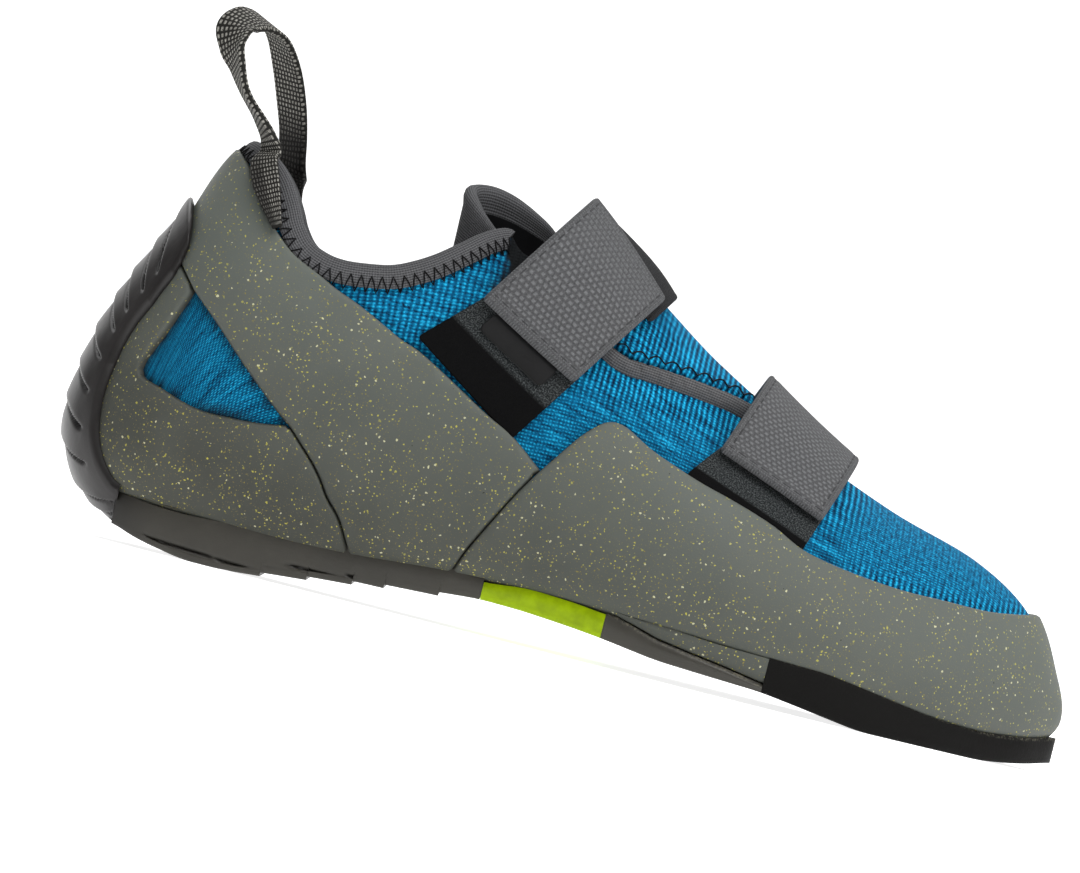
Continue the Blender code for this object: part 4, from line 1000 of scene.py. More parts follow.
def soleUnder(x):
    share = x / length
    drop = np.zeros_like(x)
    for rear, front in zip(sole["treads"][:-1], sole["treads"][1:]):
        inside = (share > rear) & (share <= front)
        drop = np.where(inside, sole["treadStep"] * (share - rear) / (front - rear), drop)
    return soleValue("under", x) - drop


def stripHeight(x):
    places, heights = zip(*sole["strip"])
    return np.interp(x, np.array(places) * length, np.array(heights) * sole["height"])


def soleRim(x):
    return soleValue("rim", x)


def soleRings(xs, underOf, rimOf, lip, grooves):
    # rings of the sole with their depth under the rim and the painted shade in their grooves
    across = edgeSpaced(sole["across"], 0.8)
    wallShares = np.linspace(0, 1, sole["up"])[1:-1]
    rings = []
    rims = []
    shades = []
    for x in xs:
        left, right = (float(np.interp(x, *outlines[side])) for side in (-1, 1))
        under, rim = (float(f(np.array([x]))[0]) for f in (underOf, rimOf))
        wide = right - left
        bevel = min(sole["bevel"], 0.3 * wide, 0.4 * (rim - under))
        y = left + wide * across
        away = np.minimum(y - left, right - y)
        low = under + bevel * (1 - roundedAt(away, bevel))
        origins = np.stack((np.full_like(y, x), y, np.full_like(y, sole["castFrom"])), axis=1)
        ways = np.tile((0.0, 0.0, 1.0), (len(y), 1))
        height = castAll(trees["overRands"], origins, ways) + sole["castFrom"]
        top = np.where(np.isnan(height), rim, np.minimum(rim, height))
        edge = min(lip, 0.4 * (rim - under))
        top = np.maximum(top - edge * (1 - roundedAt(away, edge)), low + sole["least"])
        wall = under + bevel + (rim - edge - under - bevel) * wallShares
        bow = min(sole["bulge"], 0.05 * wide) * 4 * wallShares * (1 - wallShares)
        cut = np.zeros(len(wall))
        for (startX, startZ), (endX, endZ) in grooves:
            share = (x / length - startX) / (endX - startX)
            if 0 <= share <= 1:
                middle = sole["height"] * (startZ + (endZ - startZ) * share)
                fade = min(1.0, 12 * share, 12 * (1 - share))
                cut = np.maximum(cut, fade * np.exp(-((wall - middle) / sole["grooveHalf"]) ** 2))
        bow = bow - sole["groove"] * cut
        flat = np.zeros(len(y))
        section = list(zip(y, low)) + list(zip(right + bow, wall)) + list(zip(y[::-1], top[::-1]))
        section += list(zip(left - bow[::-1], wall[::-1]))
        rings.append([(x, a, b) for a, b in section])
        rims.append([rim - b for _, b in section])
        shades.append(np.concatenate((flat, cut, flat, cut[::-1])))
    return np.array(rings), np.array(rims).ravel(), np.array(shades).ravel()


def buildSole(name, xs, underOf, rimOf, material, lip=None, grooves=()):
    rings, below, shades = soleRings(xs, underOf, rimOf, lip or sole["lip"], grooves)
    flat = rings.reshape(-1, 3)
    heelShade = np.clip(1.0 - (flat[:, 0] - sole["heelEnd"] * length) / sole["fade"], 0, 1) * 0.70
    # dark: the darker rubber at the heel end, and painted shade in the grooves
    facts = {"rim": np.clip(1.3 - below / sole["crumbs"], 0, 1), "edge": np.full(len(below), 1.0),
             "dark": np.maximum(heelShade, 0.85 * shades)}
    piece = addLoft(name + "_rubber", rings, material, flat[:, (0, 2)] * 1000, facts, sharp=38)
    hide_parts(name)


def stations(start, end, step=0.0011):
    return np.linspace(start, end, max(int((end - start) / step), 4))


def buildSoles():
    seam = sole["seam"]
    rear = [stations(sole["heelEnd"] * length, sole["treads"][0] * length - seam)]
    for a, b in zip(sole["treads"], sole["treads"][1:] + (sole["insertRear"],)):
        rear.append(stations(a * length + seam, b * length - seam))
    grey = rubberMaterial("rear_rubber", sole["grey"], 0.42, 0.08, sole["greyDust"])
    buildSole("rear_sole", np.concatenate(rear), soleUnder, soleRim, grey, grooves=scaleLines)
    lime = plainMaterial("lime_rubber", sole["lime"], 0.36, Coat_Weight=0.05, Coat_Roughness=0.25,
                         Specular_IOR_Level=0.1)
    insert = stations(sole["insertRear"] * length + seam, sole["insertFront"] * length - seam)
    buildSole("arch_insert", insert, soleUnder, soleRim, lime, lip=sole["insertLip"])
    waist = stations(sole["insertFront"] * length + seam, sole["waistFront"] * length - seam)
    buildSole("waist_sole", waist, soleUnder, stripHeight, grey)
    buildSole("waist_strip", waist, lambda x: stripHeight(x) + last["fit"], soleRim, rands["material"],
              lip=sole["stripLip"])
    # closer stations towards the toe's tip
    tipFrom = sole["tipFrom"] * length
    front = stations(sole["waistFront"] * length + seam, tipFrom)
    tip = toeTip - (toeTip - tipFrom) * (1 - np.sin(0.5 * math.pi * np.arange(1, 26) / 26))
    front = np.concatenate((front, tip, [toeTip - 0.5 * seam]))
    black = rubberMaterial("front_rubber", sole["black"], 0.66, 0.0, sole["blackDust"], 1100.0, 0.00012, 0.10)
    buildSole("front_sole", front, soleUnder, soleRim, black)


buildSoles()
print("stage: soles")


# the heel rubber fans out from a point inside the heel: angles of rise and half spread in degrees
heelCup = {"hub": (0.116, 0.437),
           "fan": ((72.4, 13), (71.9, 23), (70.3, 30), (66.0, 34.5), (60.0, 38), (41.0, 42), (-6.0, 41),
                   (-37.0, 36), (-49.0, 35), (-64.0, 34), (-80.0, 36)),
           "wall": 0.0036, "rib": 0.0010, "edge": 0.0016, "inside": 0.0002, "rows": 400, "cols": 60,
           "grooves": (67.2, 55.6, 41.5, 27.9, 10.5, -6.9, -22.5, -36.4, -53.3, -62.4, -74.0),
           "sweep": 13.0, "grooveReach": 0.74, "grooveDepth": 0.0015, "grooveHalf": 0.00050,
           "forward": 0.023, "forwardFrom": 0.28, "endTop": 0.24, "endSoft": 0.004}


def buildHeelCup():
    hub = np.array((heelCup["hub"][0] * length, 0.0, heelCup["hub"][1] * last["heelHeight"]))
    fan = np.array(heelCup["fan"][::-1])
    angles = np.linspace(fan[-1, 0], fan[0, 0], heelCup["rows"])
    spread = np.interp(angles, fan[:, 0], fan[:, 1])[:, None]
    angle, share = np.meshgrid(angles, 2 * edgeSpaced(heelCup["cols"], 0.7) - 1, indexing="ij")
    rise = np.radians(angle)

    def castOut(place):
        # the way out of the hub and how far the heel is, for places across the rubber
        turn = np.radians(spread * place)
        way = np.stack((-np.cos(rise) * np.cos(turn), np.sin(turn), np.sin(rise) * np.cos(turn)), axis=-1)
        hubs = np.tile(hub, (angle.size, 1))
        return way, castAll(trees["overRands"], hubs, way.reshape(-1, 3)).reshape(angle.shape)

    away, run = castOut(share)
    # the rubber's own place across it runs from edge to edge after its front limit is set
    x = hub[0] + away[..., 0] * run
    z = hub[2] + away[..., 2] * run
    limitLow = sole["heelEnd"] * length - 2 * sole["seam"]
    limitHigh = limitLow + heelCup["forward"] * length
    limit = np.where(z > heelCup["forwardFrom"] * last["heelHeight"], limitHigh, limitLow)
    beyond = np.where(x > limit, np.abs(share), 2.0).min(axis=1)
    trim = np.minimum(1.0, beyond)[:, None]
    trimmed = share * trim
    away, run = castOut(trimmed)
    fromSide = (1 - np.abs(share)) * np.radians(spread) * trim * run
    # where it meets the sole its end stays thick
    soft = heelCup["endSoft"]
    lowPart = np.clip((heelCup["endTop"] * last["heelHeight"] - z) / soft, 0, 1) * (trim < 1)
    fromSide = fromSide + soft * lowPart
    fromTop = (angles[0] - angle) * math.pi / 180 * run
    fromLow = (angle - angles[-1]) * math.pi / 180 * run
    edge = np.minimum(np.minimum(fromSide, fromTop), fromLow)
    rounded = roundedAt(edge, heelCup["edge"])
    bent = angle + heelCup["sweep"] * (np.abs(trimmed) / heelCup["grooveReach"]) ** 1.6
    starts = np.array(heelCup["grooves"])
    above = (bent[..., None] <= starts).sum(-1)
    upper = np.concatenate(([90.0], starts, [-90.0]))[above]
    lower = np.concatenate(([90.0], starts, [-90.0]))[np.minimum(above + 1, len(starts) + 1)]
    phase = np.clip((upper - bent) / np.maximum(upper - lower, 1.0), 0, 1)
    fade = np.clip((heelCup["grooveReach"] * 1.12 - np.abs(trimmed)) / (0.12 * heelCup["grooveReach"]), 0, 1)
    flat = np.clip(1 - (np.abs(trimmed) / 0.92) ** 3, 0, 1)
    nearest = np.abs(bent[..., None] - starts).min(-1) * math.pi / 180 * run
    line = np.exp(-(nearest / heelCup["grooveHalf"]) ** 2) * fade
    groove = heelCup["grooveDepth"] * line
    rib = heelCup["rib"] * phase * flat * fade + heelCup["rib"] * 0.5 * flat * (1 - fade)
    body = (heelCup["wall"] - heelCup["rib"]) * (1 - 0.30 * share ** 4)
    top = (body + rib) * rounded - groove * rounded
    outer = hub + away * (run + np.maximum(top, 0))[..., None]
    inner = hub + away * (run - heelCup["inside"])[..., None]
    upright = lowPart * np.clip((np.abs(share) - 0.75) / 0.25, 0, 1)
    outer[..., 0] += upright * (inner[..., 0] - outer[..., 0])
    rows, cols = angle.shape
    count = rows * cols
    rim = [k for k in range(cols)] + [r * cols + cols - 1 for r in range(1, rows)]
    rim += [count - 1 - k for k in range(1, cols)] + [r * cols for r in range(rows - 2, 0, -1)]
    faces = shellFaces(outer, away, [(b, a, a + count, b + count) for a, b in zip(rim, rim[1:] + rim[:1])])
    black = rubberMaterial("heel_rubber", (0.0135, 0.0122, 0.0120), 0.36, 0.14, None, 700.0, 0.00006)
    points = np.vstack((outer.reshape(-1, 3), inner.reshape(-1, 3)))
    # painted shade along the grooves
    facts = {"dark": np.tile(line.ravel(), 2)}
    piece = addPiece("heel_cup_rubber", points, faces, black, points[:, (0, 2)] * 1000, facts)
    piece.data.set_sharp_from_angle(angle=math.radians(55))
    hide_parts("heel_cup")


buildHeelCup()
print("stage: heel cup")


# bands that cross the instep: slope of the width and turn angles in degrees, places in shares of length
straps = {
    "upper": {"slope": 33.6, "across": 0.1255, "hub": 0.3870, "hubY": 0.034, "hem": -58.0, "end": -11.0,
              "skew": 6.0, "patchFoot": 0.0105, "rows": 110, "patch": (-90.0, -44.0),
              "root": (-24.0, 80.0), "label": (-67.5, -57.0)},
    "lower": {"slope": 20.7, "across": 0.4925, "hub": 0.3570, "hubY": 0.034, "hem": -60.0, "end": 62.0,
              "skew": 0.0, "patchFoot": 0.0050, "rows": 160, "patch": (-78.5, -47.0)},
}
webbing = {"width": 0.0305, "wall": 0.0020, "rootShare": 0.7, "patch": 0.0010, "clearance": 0.0005,
           "upperArch": 0.0048, "rootArch": 0.0027, "lowerArch": 0.0034, "rootShift": 0.0018,
           "labelInset": 0.0048, "label": 0.0006, "splay": 0.005, "hem": 0.0007, "hemDepth": 0.0028,
           "stitchInset": 0.0018, "stitch": 0.0023, "stitchGap": 0.0010, "thread": 0.00024,
           "cloth": (0.150, 0.153, 0.158), "gap": (0.046, 0.046, 0.048), "root": (0.030, 0.030, 0.031),
           "rootGap": (0.010, 0.010, 0.011)}


def bandPlaces(plan, across, turns):
    # points of the last and the way out of it, for a grid of places across and of turns
    slope = math.radians(plan["slope"])
    width = np.array((math.cos(slope), 0, -math.sin(slope)))
    rise = np.array((math.sin(slope), 0, math.cos(slope)))
    hub = rise * plan["hub"] * length + (0, plan["hubY"] * last["ballWidth"], 0)
    turn = np.radians(turns)
    way = np.cos(turn)[..., None] * rise + np.sin(turn)[..., None] * np.array((0.0, 1.0, 0.0))
    way = way.reshape(-1, 3)
    origin = (hub + across[..., None] * width).reshape(-1, 3)
    near = castAll(trees["bare"], origin, way)
    slant = (castAll(trees["far"], origin, way) - near) / offsets["far"]
    base = origin + way * near[:, None]
    return base.reshape(*across.shape, 3), (way * slant[:, None]).reshape(*across.shape, 3)


def addBand(name, plan, start, end, turns, liftOf, wall, material, rows, cols=48, corner=0.0012, splay=0.0,
            skew=0.0, extraOf=None, facts=None):
    # a band over the instep, from start to end across it and over these turns, its rounded edges closed
    share, side = np.meshgrid(edgeSpaced(rows), edgeSpaced(cols), indexing="ij")
    angle = turns[0] + (turns[1] - skew * side - turns[0]) * share
    opened = start - splay * (1 - share)
    base, _ = bandPlaces(plan, opened + (end - opened) * side, angle)
    arc = arcOf(base[:, cols // 2])[:, None]
    fromEnd = np.minimum(arc, arc[-1] - arc)
    inset = corner * (1 - roundedAt(fromEnd, corner))
    across = opened + inset + (end - opened - 2 * inset) * side
    base, out = bandPlaces(plan, across, angle)
    border = np.minimum(np.minimum(side, 1 - side) * (end - opened - 2 * inset), fromEnd + 0 * side)
    rounded = roundedAt(border, 0.55 * wall)
    extra = extraOf(arc + 0 * side, border) if extraOf else 0.0
    lift = liftOf(angle, side)
    outer = base + out * (lift + 0.5 * wall + (0.5 * wall + extra) * rounded)[..., None]
    inner = base + out * (lift + 0.5 * wall - 0.5 * wall * rounded)[..., None]
    uv = np.stack(((across - start) * 1000, arc * 1000 + 0 * across), axis=-1).reshape(-1, 2)
    values = {"border": border.ravel()}
    for key, maker in (facts or {}).items():
        values[key] = maker(arc + 0 * side, across, border).ravel()
    values = {key: np.tile(value, 2) for key, value in values.items()}
    points = np.vstack((outer.reshape(-1, 3), inner.reshape(-1, 3)))
    piece = addPiece(name, points, shellFaces(outer, out), material, np.vstack((uv, uv)), values)
    return piece, outer, unit(out), arc[:, 0]


def bumpAt(angle, centre, spread):
    return np.exp(-((angle - centre) / spread) ** 2)


def resting(angle, hem):
    base = last["fit"] + webbing["patch"] + webbing["clearance"]
    overFlap = last["fit"] + flap["wall"] + webbing["clearance"] + 2 * last["fit"]
    overBinding = last["fit"] + flap["wall"] + flap["bindingWall"] + webbing["clearance"]
    climbing = base + (overBinding - base) * np.clip((angle - hem) / 22.0, 0, 1)
    return np.where(angle > 0, overBinding + (overFlap - overBinding) * np.clip(angle / 40.0, 0, 1), climbing)


def rootLift(angle, across):
    arch = webbing["upperArch"] * (1.25 - 0.95 * across) * bumpAt(angle, -12, 26)
    rolled = 1 - np.clip((across - 0.45) / 0.60, 0, 1) ** 2
    bulge = webbing["rootArch"] * across * rolled * bumpAt(angle, 16, 15)
    return resting(angle, straps["upper"]["hem"]) + arch + bulge


def upperLift(angle, across):
    settle = np.clip((angle + 50.0) / 22.0, 0, 1)
    return rootLift(angle, across) + (webbing["rootShare"] * webbing["wall"] + webbing["clearance"]) * settle


def lowerLift(angle, across):
    arch = webbing["lowerArch"] * (1.25 - 0.9 * across) * bumpAt(angle, -12, 26)
    return resting(angle, straps["lower"]["hem"]) + arch


def strapExtra(arc, border):
    # the rolled hem, and the dent that the stitches pull along the edges
    hem = webbing["hem"] * np.exp(-(np.maximum(arc - 0.0008, 0) / webbing["hemDepth"]) ** 4)
    dent = -0.00022 * np.exp(-((border - webbing["stitchInset"]) / 0.00045) ** 2)
    return hem + dent


def edgeStitches(name, outer, out, arc, material):
    # stitches along both sides and the hem, read off the strap's outer face
    rows, cols = outer.shape[:2]
    inset = webbing["stitchInset"]
    share = inset / webbing["width"]
    pitch = webbing["stitch"] + webbing["stitchGap"]
    tracks = []
    for place in (share, 1 - share):
        col = np.interp(place, edgeSpaced(cols), np.arange(cols))
        c = min(int(col), cols - 2)
        tracks.append((outer[:, c] * (1 - col + c) + outer[:, c + 1] * (col - c), out[:, c]))
    row = np.interp(inset, arc, np.arange(rows))
    r = min(int(row), rows - 2)
    tracks.append((outer[r] * (1 - row + r) + outer[r + 1] * (row - r), out[r]))
    starts, ends, ups = [], [], []
    for line, up in tracks:
        track = arcOf(line)
        first = np.arange(inset, track[-1] - inset - webbing["stitch"], pitch)
        starts.append(resampled(line, track, first))
        ends.append(resampled(line, track, first + webbing["stitch"]))
        ups.append(resampled(up, track, first + 0.5 * webbing["stitch"]))
    ups = unit(np.vstack(ups))
    return addStitches(name, np.vstack(starts), np.vstack(ends), ups, webbing["thread"], material)


def bandFact(depth):
    # the smooth band at a patch's foot
    return lambda arc, across, border: np.clip(0.5 + (depth - arc) / 0.0006, 0, 1)


def buildStraps():
    cloth = webbingMaterial("strap_webbing", webbing["cloth"], webbing["gap"])
    dark = webbingMaterial("root_webbing", webbing["root"], webbing["rootGap"], 1.3, 0.9, (-2.0, -1.0))
    hook = hookMaterial("hook_fabric")
    satin = plainMaterial("satin", (0.0035, 0.0035, 0.0038), 0.45, Specular_IOR_Level=0.2)
    thread = plainMaterial("strap_thread", (0.045, 0.045, 0.047), 0.85, Specular_IOR_Level=0.1)
    width = webbing["width"]
    for name, lift in (("upper", upperLift), ("lower", lowerLift)):
        plan = straps[name]
        start = plan["across"] * length
        turns = (plan["hem"], plan["end"])
        piece, outer, out, arc = addBand(name + "_strap_webbing", plan, start, start + width, turns, lift,
                                         webbing["wall"], cloth, plan["rows"], skew=plan["skew"],
                                         extraOf=strapExtra)
        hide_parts(name + "_strap")
        edgeStitches(name + "_strap_stitches", outer, out, arc, thread)
        patch, *_ = addBand(name + "_hook", plan, start + 0.04 * width, start + width, plan["patch"],
                            lambda angle, side: last["fit"] + 0 * angle, webbing["patch"], hook, 70,
                            splay=webbing["splay"], facts={"band": bandFact(plan["patchFoot"])})
        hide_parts(name + "_hook_patch")
    plan = straps["upper"]
    start = plan["across"] * length
    shift = webbing["rootShift"]
    wall = webbing["rootShare"] * webbing["wall"]
    root, *_ = addBand("strap_root_webbing", plan, start + shift, start + width + shift, plan["root"],
                       lambda angle, side: rootLift(angle, side + 0.1), wall, dark, 120)
    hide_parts("strap_root")
    inset = webbing["labelInset"]
    label, *_ = addBand("label_satin", plan, start + inset, start + width - inset, plan["label"],
                        lambda angle, side: 2 * last["fit"] + webbing["patch"] + 0 * angle, webbing["label"],
                        satin, 40, corner=0.0016)
    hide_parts("label_patch")


buildStraps()
print("stage: straps")


# the binding is folded over the collar's edge: along the face and out of it, in metres
collarBinding = {
    "front": 0.370,
    "outer": ((-0.0050, 0.0003), (-0.0051, 0.0008), (-0.0048, 0.00125), (-0.0040, 0.00142),
              (-0.0025, 0.00148), (-0.0008, 0.00148), (0.0003, 0.00125), (0.0010, 0.0007),
              (0.0013, -0.0001), (0.0014, -0.0010), (0.0012, -0.0020), (0.0006, -0.0028),
              (-0.0004, -0.0032), (-0.0020, -0.0033), (-0.0044, -0.0033), (-0.0050, -0.0030),
              (-0.0050, -0.0021), (0.0002, -0.0021), (0.0002, 0.0003)),
    "startFrom": 0.09, "startTo": 0.15, "stations": 240, "crowd": 1.9, "step": 0.0007, "margin": 0.0015,
    "probe": 0.012, "overEdge": -0.0049, "onBinding": 0.00156, "onKnit": 0.00022,
    "stitchTop": -0.0022, "stitchFoot": -0.0062, "stitchPitch": 0.00245, "thread": 0.00019,
}


def collarPath():
    # rows and angles along the collar's edge, from the lateral front round the heel to the medial front
    line = smooth["collar"]
    probe = np.linspace(collarBinding["startFrom"] * length, collarBinding["startTo"] * length, 600)
    crest = lastPoint(rowAtX(probe), np.full_like(probe, 0.5 * math.pi))[:, 2]
    start = probe[(crest > np.interp(probe, line[:, 0], line[:, 1])).argmax()]
    shares = np.linspace(0, 1, collarBinding["stations"]) ** collarBinding["crowd"]
    xs = start + (collarBinding["front"] * length - start) * shares
    zs = np.interp(xs, line[:, 0], line[:, 1])
    u, lateral = sideSpot(xs, zs, True)
    _, medial = sideSpot(xs, zs, False)
    us = np.concatenate((u[::-1], u[1:]))
    angles = np.concatenate((lateral[::-1], medial[1:]))
    path = lastPoint(us, angles)
    arc = arcOf(path)
    places = np.linspace(0, arc[-1], int(arc[-1] / collarBinding["step"]))
    return resampled(np.column_stack((us, angles)), arc, places), places


def onCloth(points, normals, along, out):
    # the last's surface under these points, and out from it along the normal
    probe = collarBinding["probe"]
    origins = points + along + probe * normals
    away = castAll(trees["bare"], origins, -normals)
    away = np.where(np.isnan(away), probe, away)
    return origins - normals * (away - out)[:, None]


def buildCollarBinding():
    spots, places = collarPath()
    path = lastPoint(spots[:, 0], spots[:, 1])
    normals = lastNormal(spots[:, 0], spots[:, 1])
    for _ in range(3):
        normals[1:-1] = unit(normals[:-2] + 2 * normals[1:-1] + normals[2:])
    run = unit(np.gradient(path, axis=0))
    away = unit(np.cross(normals, run))
    away = away if away[len(path) // 4, 2] > 0 else -away
    rings = []
    for along, out in collarBinding["outer"]:
        rings.append(onCloth(path, normals, away * along, np.full(len(path), out)))
    rings = np.stack(rings, axis=1)
    profile = arcOf(np.array(collarBinding["outer"])) * 1000
    uv = pairsOf(places * 1000, profile)[:, ::-1]
    ribbed = ribbedMaterial("binding_knit", (0.125, 0.126, 0.132), (0.022, 0.022, 0.023), 0.62)
    piece = addLoft("collar_binding_knit", rings, ribbed, uv, sharp=60)
    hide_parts("collar_binding")
    # black zigzag stitch over its lower edge
    pitch = 0.5 * collarBinding["stitchPitch"]
    turns = np.arange(collarBinding["margin"], places[-1] - collarBinding["margin"], pitch)
    steps = np.linspace(0, 1, 6)[:-1]
    at = (turns[:-1, None] + pitch * steps).ravel()
    down = np.arange(len(turns) - 1)[:, None] % 2 == 0
    share = np.where(down, steps, 1 - steps).ravel()
    along = collarBinding["stitchTop"] + (collarBinding["stitchFoot"] - collarBinding["stitchTop"]) * share
    out = np.where(along > collarBinding["overEdge"], collarBinding["onBinding"], collarBinding["onKnit"])
    place = resampled(path, places, at)
    normal = unit(resampled(normals, places, at))
    track = onCloth(place, normal, resampled(away, places, at) * along[:, None], out)
    black = plainMaterial("black_thread", (0.003, 0.003, 0.0035), 0.7, Specular_IOR_Level=0.1)
    stitch = addThread("collar_zigzag", track, normal, collarBinding["thread"], black, 5)
    return ribbed, black


binding, blackThread = buildCollarBinding()
print("stage: collar binding")


flapStitch = {"pitch": 0.0042, "height": 0.0013, "above": 0.0006, "proud": 0.00014, "thread": 0.00019}


def buildFlapStitch():
    # a scalloped black stitch along the flap's bound edge
    line = flapEdge
    arc = arcOf(line)
    places = np.arange(0.001, arc[-1] - 0.001, 0.0003)
    spot = resampled(line, arc, places)
    wave = np.abs(np.sin(math.pi * places / flapStitch["pitch"]))
    scallop = flapStitch["above"] + flapStitch["height"] * wave
    u, angle = sideSpot(spot[:, 0], spot[:, 1] + scallop, True)
    proud = last["fit"] + flap["wall"] + flapStitch["proud"]
    track = skinPoint(u, angle, proud + creaseLift(lastPoint(u, angle)))
    stitch = addThread("flap_scallop", track, lastNormal(u, angle), flapStitch["thread"], blackThread, 5)


buildFlapStitch()
print("stage: flap stitch")


# the tongue's folded edge: shares of length, ball width and instep height, and the wall it is sewn to
tongue = {"wall": 0.0018, "rows": ((0.406, -0.115, 0.880, 0.780, -1), (0.378, -0.098, 0.900, 0.760, 0),
                                   (0.352, -0.078, 0.945, 0.740, 0), (0.332, -0.060, 0.990, 0.730, 0),
                                   (0.3215, -0.005, 1.020, 0.725, 0), (0.324, 0.050, 1.034, 0.725, 0),
                                   (0.342, 0.080, 1.040, 0.730, 0), (0.364, 0.092, 1.030, 0.745, 0),
                                   (0.388, 0.104, 1.005, 0.765, 0), (0.408, 0.115, 0.975, 0.780, 0),
                                   (0.424, 0.120, 0.930, 0.790, 0)),
          "profile": ((0.0, 1.0), (0.3, 1.15), (0.6, 1.2), (0.80, 1.05), (0.88, 1.5), (0.94, 2.0),
                      (0.985, 1.8), (1.01, 0.9), (1.018, 0.0), (1.01, -0.9), (0.985, -1.6), (0.94, -1.8),
                      (0.87, -1.3), (0.4, -1.0), (0.0, -1.0)),
          "profileSize": (26.0, 0.9), "rim": 3}


def buildTongue():
    half = 0.5 * tongue["wall"]
    tops, feet = [], []
    for x, y, top, foot, wall in tongue["rows"]:
        place = np.array((x * length, y * last["ballWidth"], top * last["instepHeight"]))
        if wall:
            u, angle = sideSpot(place[[0]], place[[2]], wall < 0)
            place[1] = skinPoint(u, angle, np.array([-last["wall"] - 5 * last["fit"] - half]))[0, 1]
        tops.append(place)
        feet.append((place[0], place[1], foot * last["instepHeight"]))
    top, foot = smoothLine(tops, 9), smoothLine(feet, 9)
    run = np.gradient(top, axis=0)
    out = unit(np.stack((run[:, 1], -run[:, 0], 0 * run[:, 0]), axis=1))
    rings = [foot + (top - foot) * share + out * half * lean for share, lean in tongue["profile"]]
    profile = arcOf(np.array(tongue["profile"]) * tongue["profileSize"])
    uv = pairsOf(arcOf(top) * 1000, profile)[:, ::-1]
    piece = addLoft("tongue_knit", np.stack(rings, axis=1), binding, uv, sharp=60)
    # its inner side is dark below the rolled rim
    inside = plainMaterial("tongue_inside", (0.006, 0.006, 0.0065), 0.95, Specular_IOR_Level=0.05)
    piece.data.materials.append(inside)
    column = np.arange(len(piece.data.polygons)) % len(tongue["profile"])
    dark = (column < tongue["rim"]).astype(np.int32)
    piece.data.polygons.foreach_set("material_index", dark)
    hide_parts("tongue")


buildTongue()
print("stage: tongue")


# the pull loop's middle line from the heel peak in shares of its height, the turn of its width in
# degrees and its tilt, its width as a share, and the side it is sewn to
pullLoop = {"peak": 0.105, "height": 0.0335, "width": 0.0115, "wall": 0.0016,
            "rows": ((0.372, 0.00, -0.560, 0, 0.0, 0.22, -1), (0.245, 0.00, -0.310, 0, 0.0, 0.58, -1),
                     (0.186, 0.00, -0.140, 0, 0.0, 0.62, -1), (0.168, -0.42, 0.000, -12, 0.3, 0.50, 0),
                     (0.120, -0.42, 0.105, -60, 0.15, 0.54, 0), (0.020, -0.40, 0.225, -76, 0.0, 0.80, 0),
                     (-0.120, -0.38, 0.380, -82, 0.0, 1.00, 0), (-0.225, -0.33, 0.560, -72, 0.0, 1.00, 0),
                     (-0.293, -0.27, 0.700, -57, -0.1, 1.00, 0), (-0.305, -0.19, 0.840, -43, -0.3, 1.00, 0),
                     (-0.225, -0.05, 0.928, -43, -0.4, 1.00, 0), (-0.095, 0.09, 0.918, -52, -0.3, 1.00, 0),
                     (0.010, 0.20, 0.830, -56, -0.1, 1.00, 0), (0.109, 0.32, 0.648, -50, 0.0, 1.00, 0),
                     (0.198, 0.42, 0.418, -48, 0.0, 1.00, 0), (0.268, 0.50, 0.186, -52, 0.0, 1.00, 0),
                     (0.305, 0.53, -0.020, -46, 0.0, 0.94, 0), (0.360, 0.00, -0.270, 0, 0.0, 0.60, 1),
                     (0.415, 0.00, -0.480, 0, 0.0, 0.46, 1)),
            "shadeFrom": 14.2, "shadeFull": 15.2, "sewn": 2.6, "edge": 0.0007, "cols": 16}


def buildLoop():
    peak = np.array((pullLoop["peak"] * length, 0.0, last["heelHeight"]))
    seat = last["fit"] + last["rand"] + 3 * last["fit"] + 0.5 * pullLoop["wall"]
    centres, wides, shares = [], [], []
    for x, y, z, turn, tilt, share, side in pullLoop["rows"]:
        spot = peak + pullLoop["height"] * np.array((x, y, z))
        wide = np.array((math.cos(math.radians(turn)), math.sin(math.radians(turn)), tilt))
        if side:
            u, angle = sideSpot(spot[[0]], spot[[2]], side < 0)
            spot = skinPoint(u, angle, np.array([seat]))[0]
            wide = unit(np.cross(lastNormal(u, angle)[0], (-0.45, 0, 0.9)))
            wide = -wide if wide[0] < 0 else wide
        centres.append(spot)
        wides.append(wide)
        shares.append((share,))
    middle, wides, shares = smoothLine(centres, 12), smoothLine(wides, 12), smoothLine(shares, 12)
    run = unit(np.gradient(middle, axis=0))
    wide = unit(wides - run * (wides * run).sum(1, keepdims=True))
    flat = unit(np.cross(wide, run))
    half = 0.5 * pullLoop["width"] * shares
    thick = 0.5 * pullLoop["wall"]
    across = np.linspace(-1, 1, pullLoop["cols"])
    plump = thick * roundedAt((1 - np.abs(across)) * 0.5 * pullLoop["width"], pullLoop["edge"])
    face = middle[:, None] + across[:, None] * half[:, None] * wide[:, None]
    upper = face + plump[:, None] * flat[:, None]
    lower = face - plump[:, None] * flat[:, None]
    rings = np.concatenate((upper, lower[:, ::-1][:, 1:-1]), axis=1)
    arc = arcOf(middle) * 1000
    lane = np.concatenate((across, across[::-1][1:-1])) * 0.5 * pullLoop["width"] * 1000
    uv = pairsOf(arc, lane)[:, ::-1]
    # the far leg and the folded rear half of the near one lie in the dark
    row = np.linspace(0, len(pullLoop["rows"]) - 1, len(middle))[:, None] + 0 * lane
    away = np.clip((row - pullLoop["shadeFrom"]) / (pullLoop["shadeFull"] - pullLoop["shadeFrom"]), 0, 1)
    near = np.clip(pullLoop["sewn"] - row, 0, 1) * np.clip(0.3 - lane / 2.0, 0, 1)
    facts = {"dark": np.maximum(0.85 * away, 0.70 * near).ravel()}
    piece = addLoft("pull_loop_webbing", rings, loopMaterial("loop_webbing"), uv, facts)
    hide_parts("pull_loop")


buildLoop()
print("stage: pull loop")


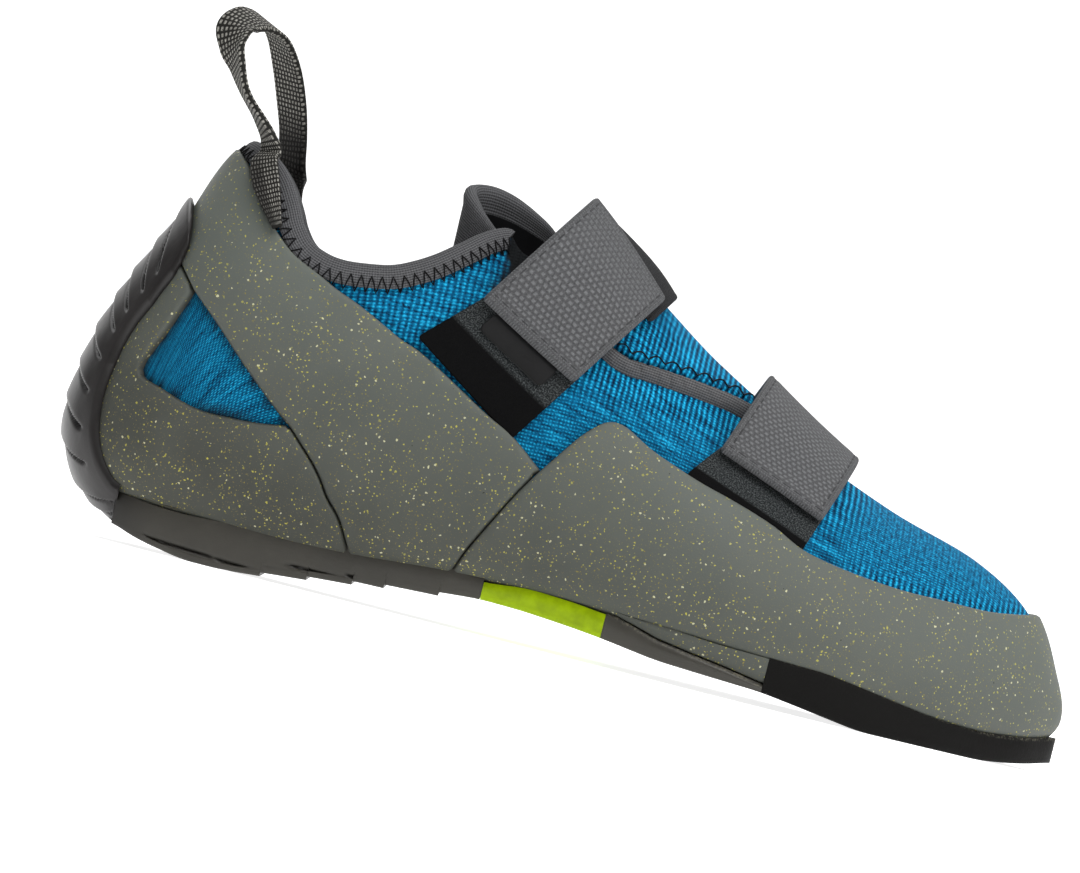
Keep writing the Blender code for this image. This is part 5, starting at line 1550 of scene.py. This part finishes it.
glue = {"size": 0.00022, "rear": 0.068, "front": 0.424, "step": 0.0005, "above": 0.0001, "proud": 0.00015,
        "ragged": (0.00012, 0.00008)}


def buildGlueLine():
    # the ragged line of glue where the rands meet the rear sole
    pale = plainMaterial("glue_line", (0.050, 0.048, 0.036), 0.8, Specular_IOR_Level=0.1)
    for name, side in (("lateral", -1), ("medial", 1)):
        x = np.arange(glue["rear"] * length, glue["front"] * length, glue["step"])
        y = np.interp(x, *outlines[side])
        z = soleRim(x) + glue["above"] + rng.normal(0, glue["ragged"][0], len(x))
        points = np.stack((x, y - side * glue["proud"] + rng.normal(0, glue["ragged"][1], len(x)), z), axis=1)
        normals = np.tile((0.0, float(side), 0.0), (len(x), 1))
        size = glue["size"] * (1 + 0.5 * rng.random(len(x)))
        thread = addThread("glue_" + name, points, normals, size, pale, 5)


buildGlueLine()
print("stage: glue line")


# the floor and the wall behind it, in metres, with a bend between them
sweep = {"half": 6.0, "near": -5.0, "back": 4.2, "bend": 0.8, "top": 6.0, "steps": 12}


def buildStage():
    floor, _, _ = newMaterial("floor", Base_Color=(0.80, 0.80, 0.80), Roughness=0.9, Specular_IOR_Level=0.1,
                              Emission_Color=(1.0, 1.0, 1.0), Emission_Strength=0.82)
    profile = [(sweep["near"], 0.0), (sweep["back"], 0.0)]
    for k in range(1, sweep["steps"] + 1):
        turn = 0.5 * math.pi * k / sweep["steps"]
        profile.append((sweep["back"] + sweep["bend"] * math.sin(turn), sweep["bend"] * (1 - math.cos(turn))))
    profile.append((sweep["back"] + sweep["bend"], sweep["top"]))
    points = [(x, y, z) for x in (-sweep["half"], sweep["half"]) for y, z in profile]
    count = len(profile)
    mesh = bpy.data.meshes.new("sweep")
    mesh.from_pydata(points, [], [(k, k + count, k + count + 1, k + 1) for k in range(count - 1)])
    mesh.shade_smooth()
    mesh.materials.append(floor)
    piece = bpy.data.objects.new("studio_floor", mesh)
    bpy.context.scene.collection.objects.link(piece)


# place, the point it looks at, its size, its power in watts
lights = {"key": ((0.45, -0.7, 1.6), (0, 0, 0.05), (1.4, 1.1), 29),
          "fill": ((1.6, -0.6, 0.9), (0.05, 0, 0.04), (1.0, 0.9), 13),
          "rim": ((-0.5, 0.7, 1.3), (0, 0, 0.08), (1.4, 0.8), 12)}
roomLight = 0.20


def buildLights():
    for name, (place, target, size, power) in lights.items():
        data = bpy.data.lights.new(name, "AREA")
        data.shape = "RECTANGLE"
        data.size, data.size_y = size
        data.energy = power
        light = bpy.data.objects.new(name, data)
        bpy.context.scene.collection.objects.link(light)
        light.location = place
        light.rotation_euler = (Vector(target) - Vector(place)).to_track_quat("-Z", "Y").to_euler()
    world = bpy.data.worlds.new("studio")
    bpy.context.scene.world = world
    world.use_nodes = True
    room = world.node_tree.nodes["Background"]
    room.inputs["Color"].default_value = (1, 1, 1, 1)
    room.inputs["Strength"].default_value = roomLight


# the camera stands level, rolled, beside the shoe: metres and degrees, width is what it sees there
view = {"centre": (0.1146, 0.0, 0.0511), "roll": 14.2, "away": 2.6, "width": 0.2687, "sensor": 36.0}


def buildCamera():
    data = bpy.data.cameras.new("camera")
    camera = bpy.data.objects.new("camera", data)
    bpy.context.scene.collection.objects.link(camera)
    data.sensor_width = view["sensor"]
    data.lens = view["sensor"] * view["away"] / view["width"]
    data.clip_start, data.clip_end = 0.1, 20.0
    centre = np.array(view["centre"]) + shoePlace
    camera.location = (centre[0], -view["away"], centre[2])
    camera.rotation_mode = "XYZ"
    camera.rotation_euler = (math.radians(90), math.radians(-view["roll"]), 0)
    bpy.context.scene.camera = camera
    bpy.context.scene.view_settings.view_transform = "Standard"


buildStage()
buildLights()
buildCamera()
print("stage: light and camera")
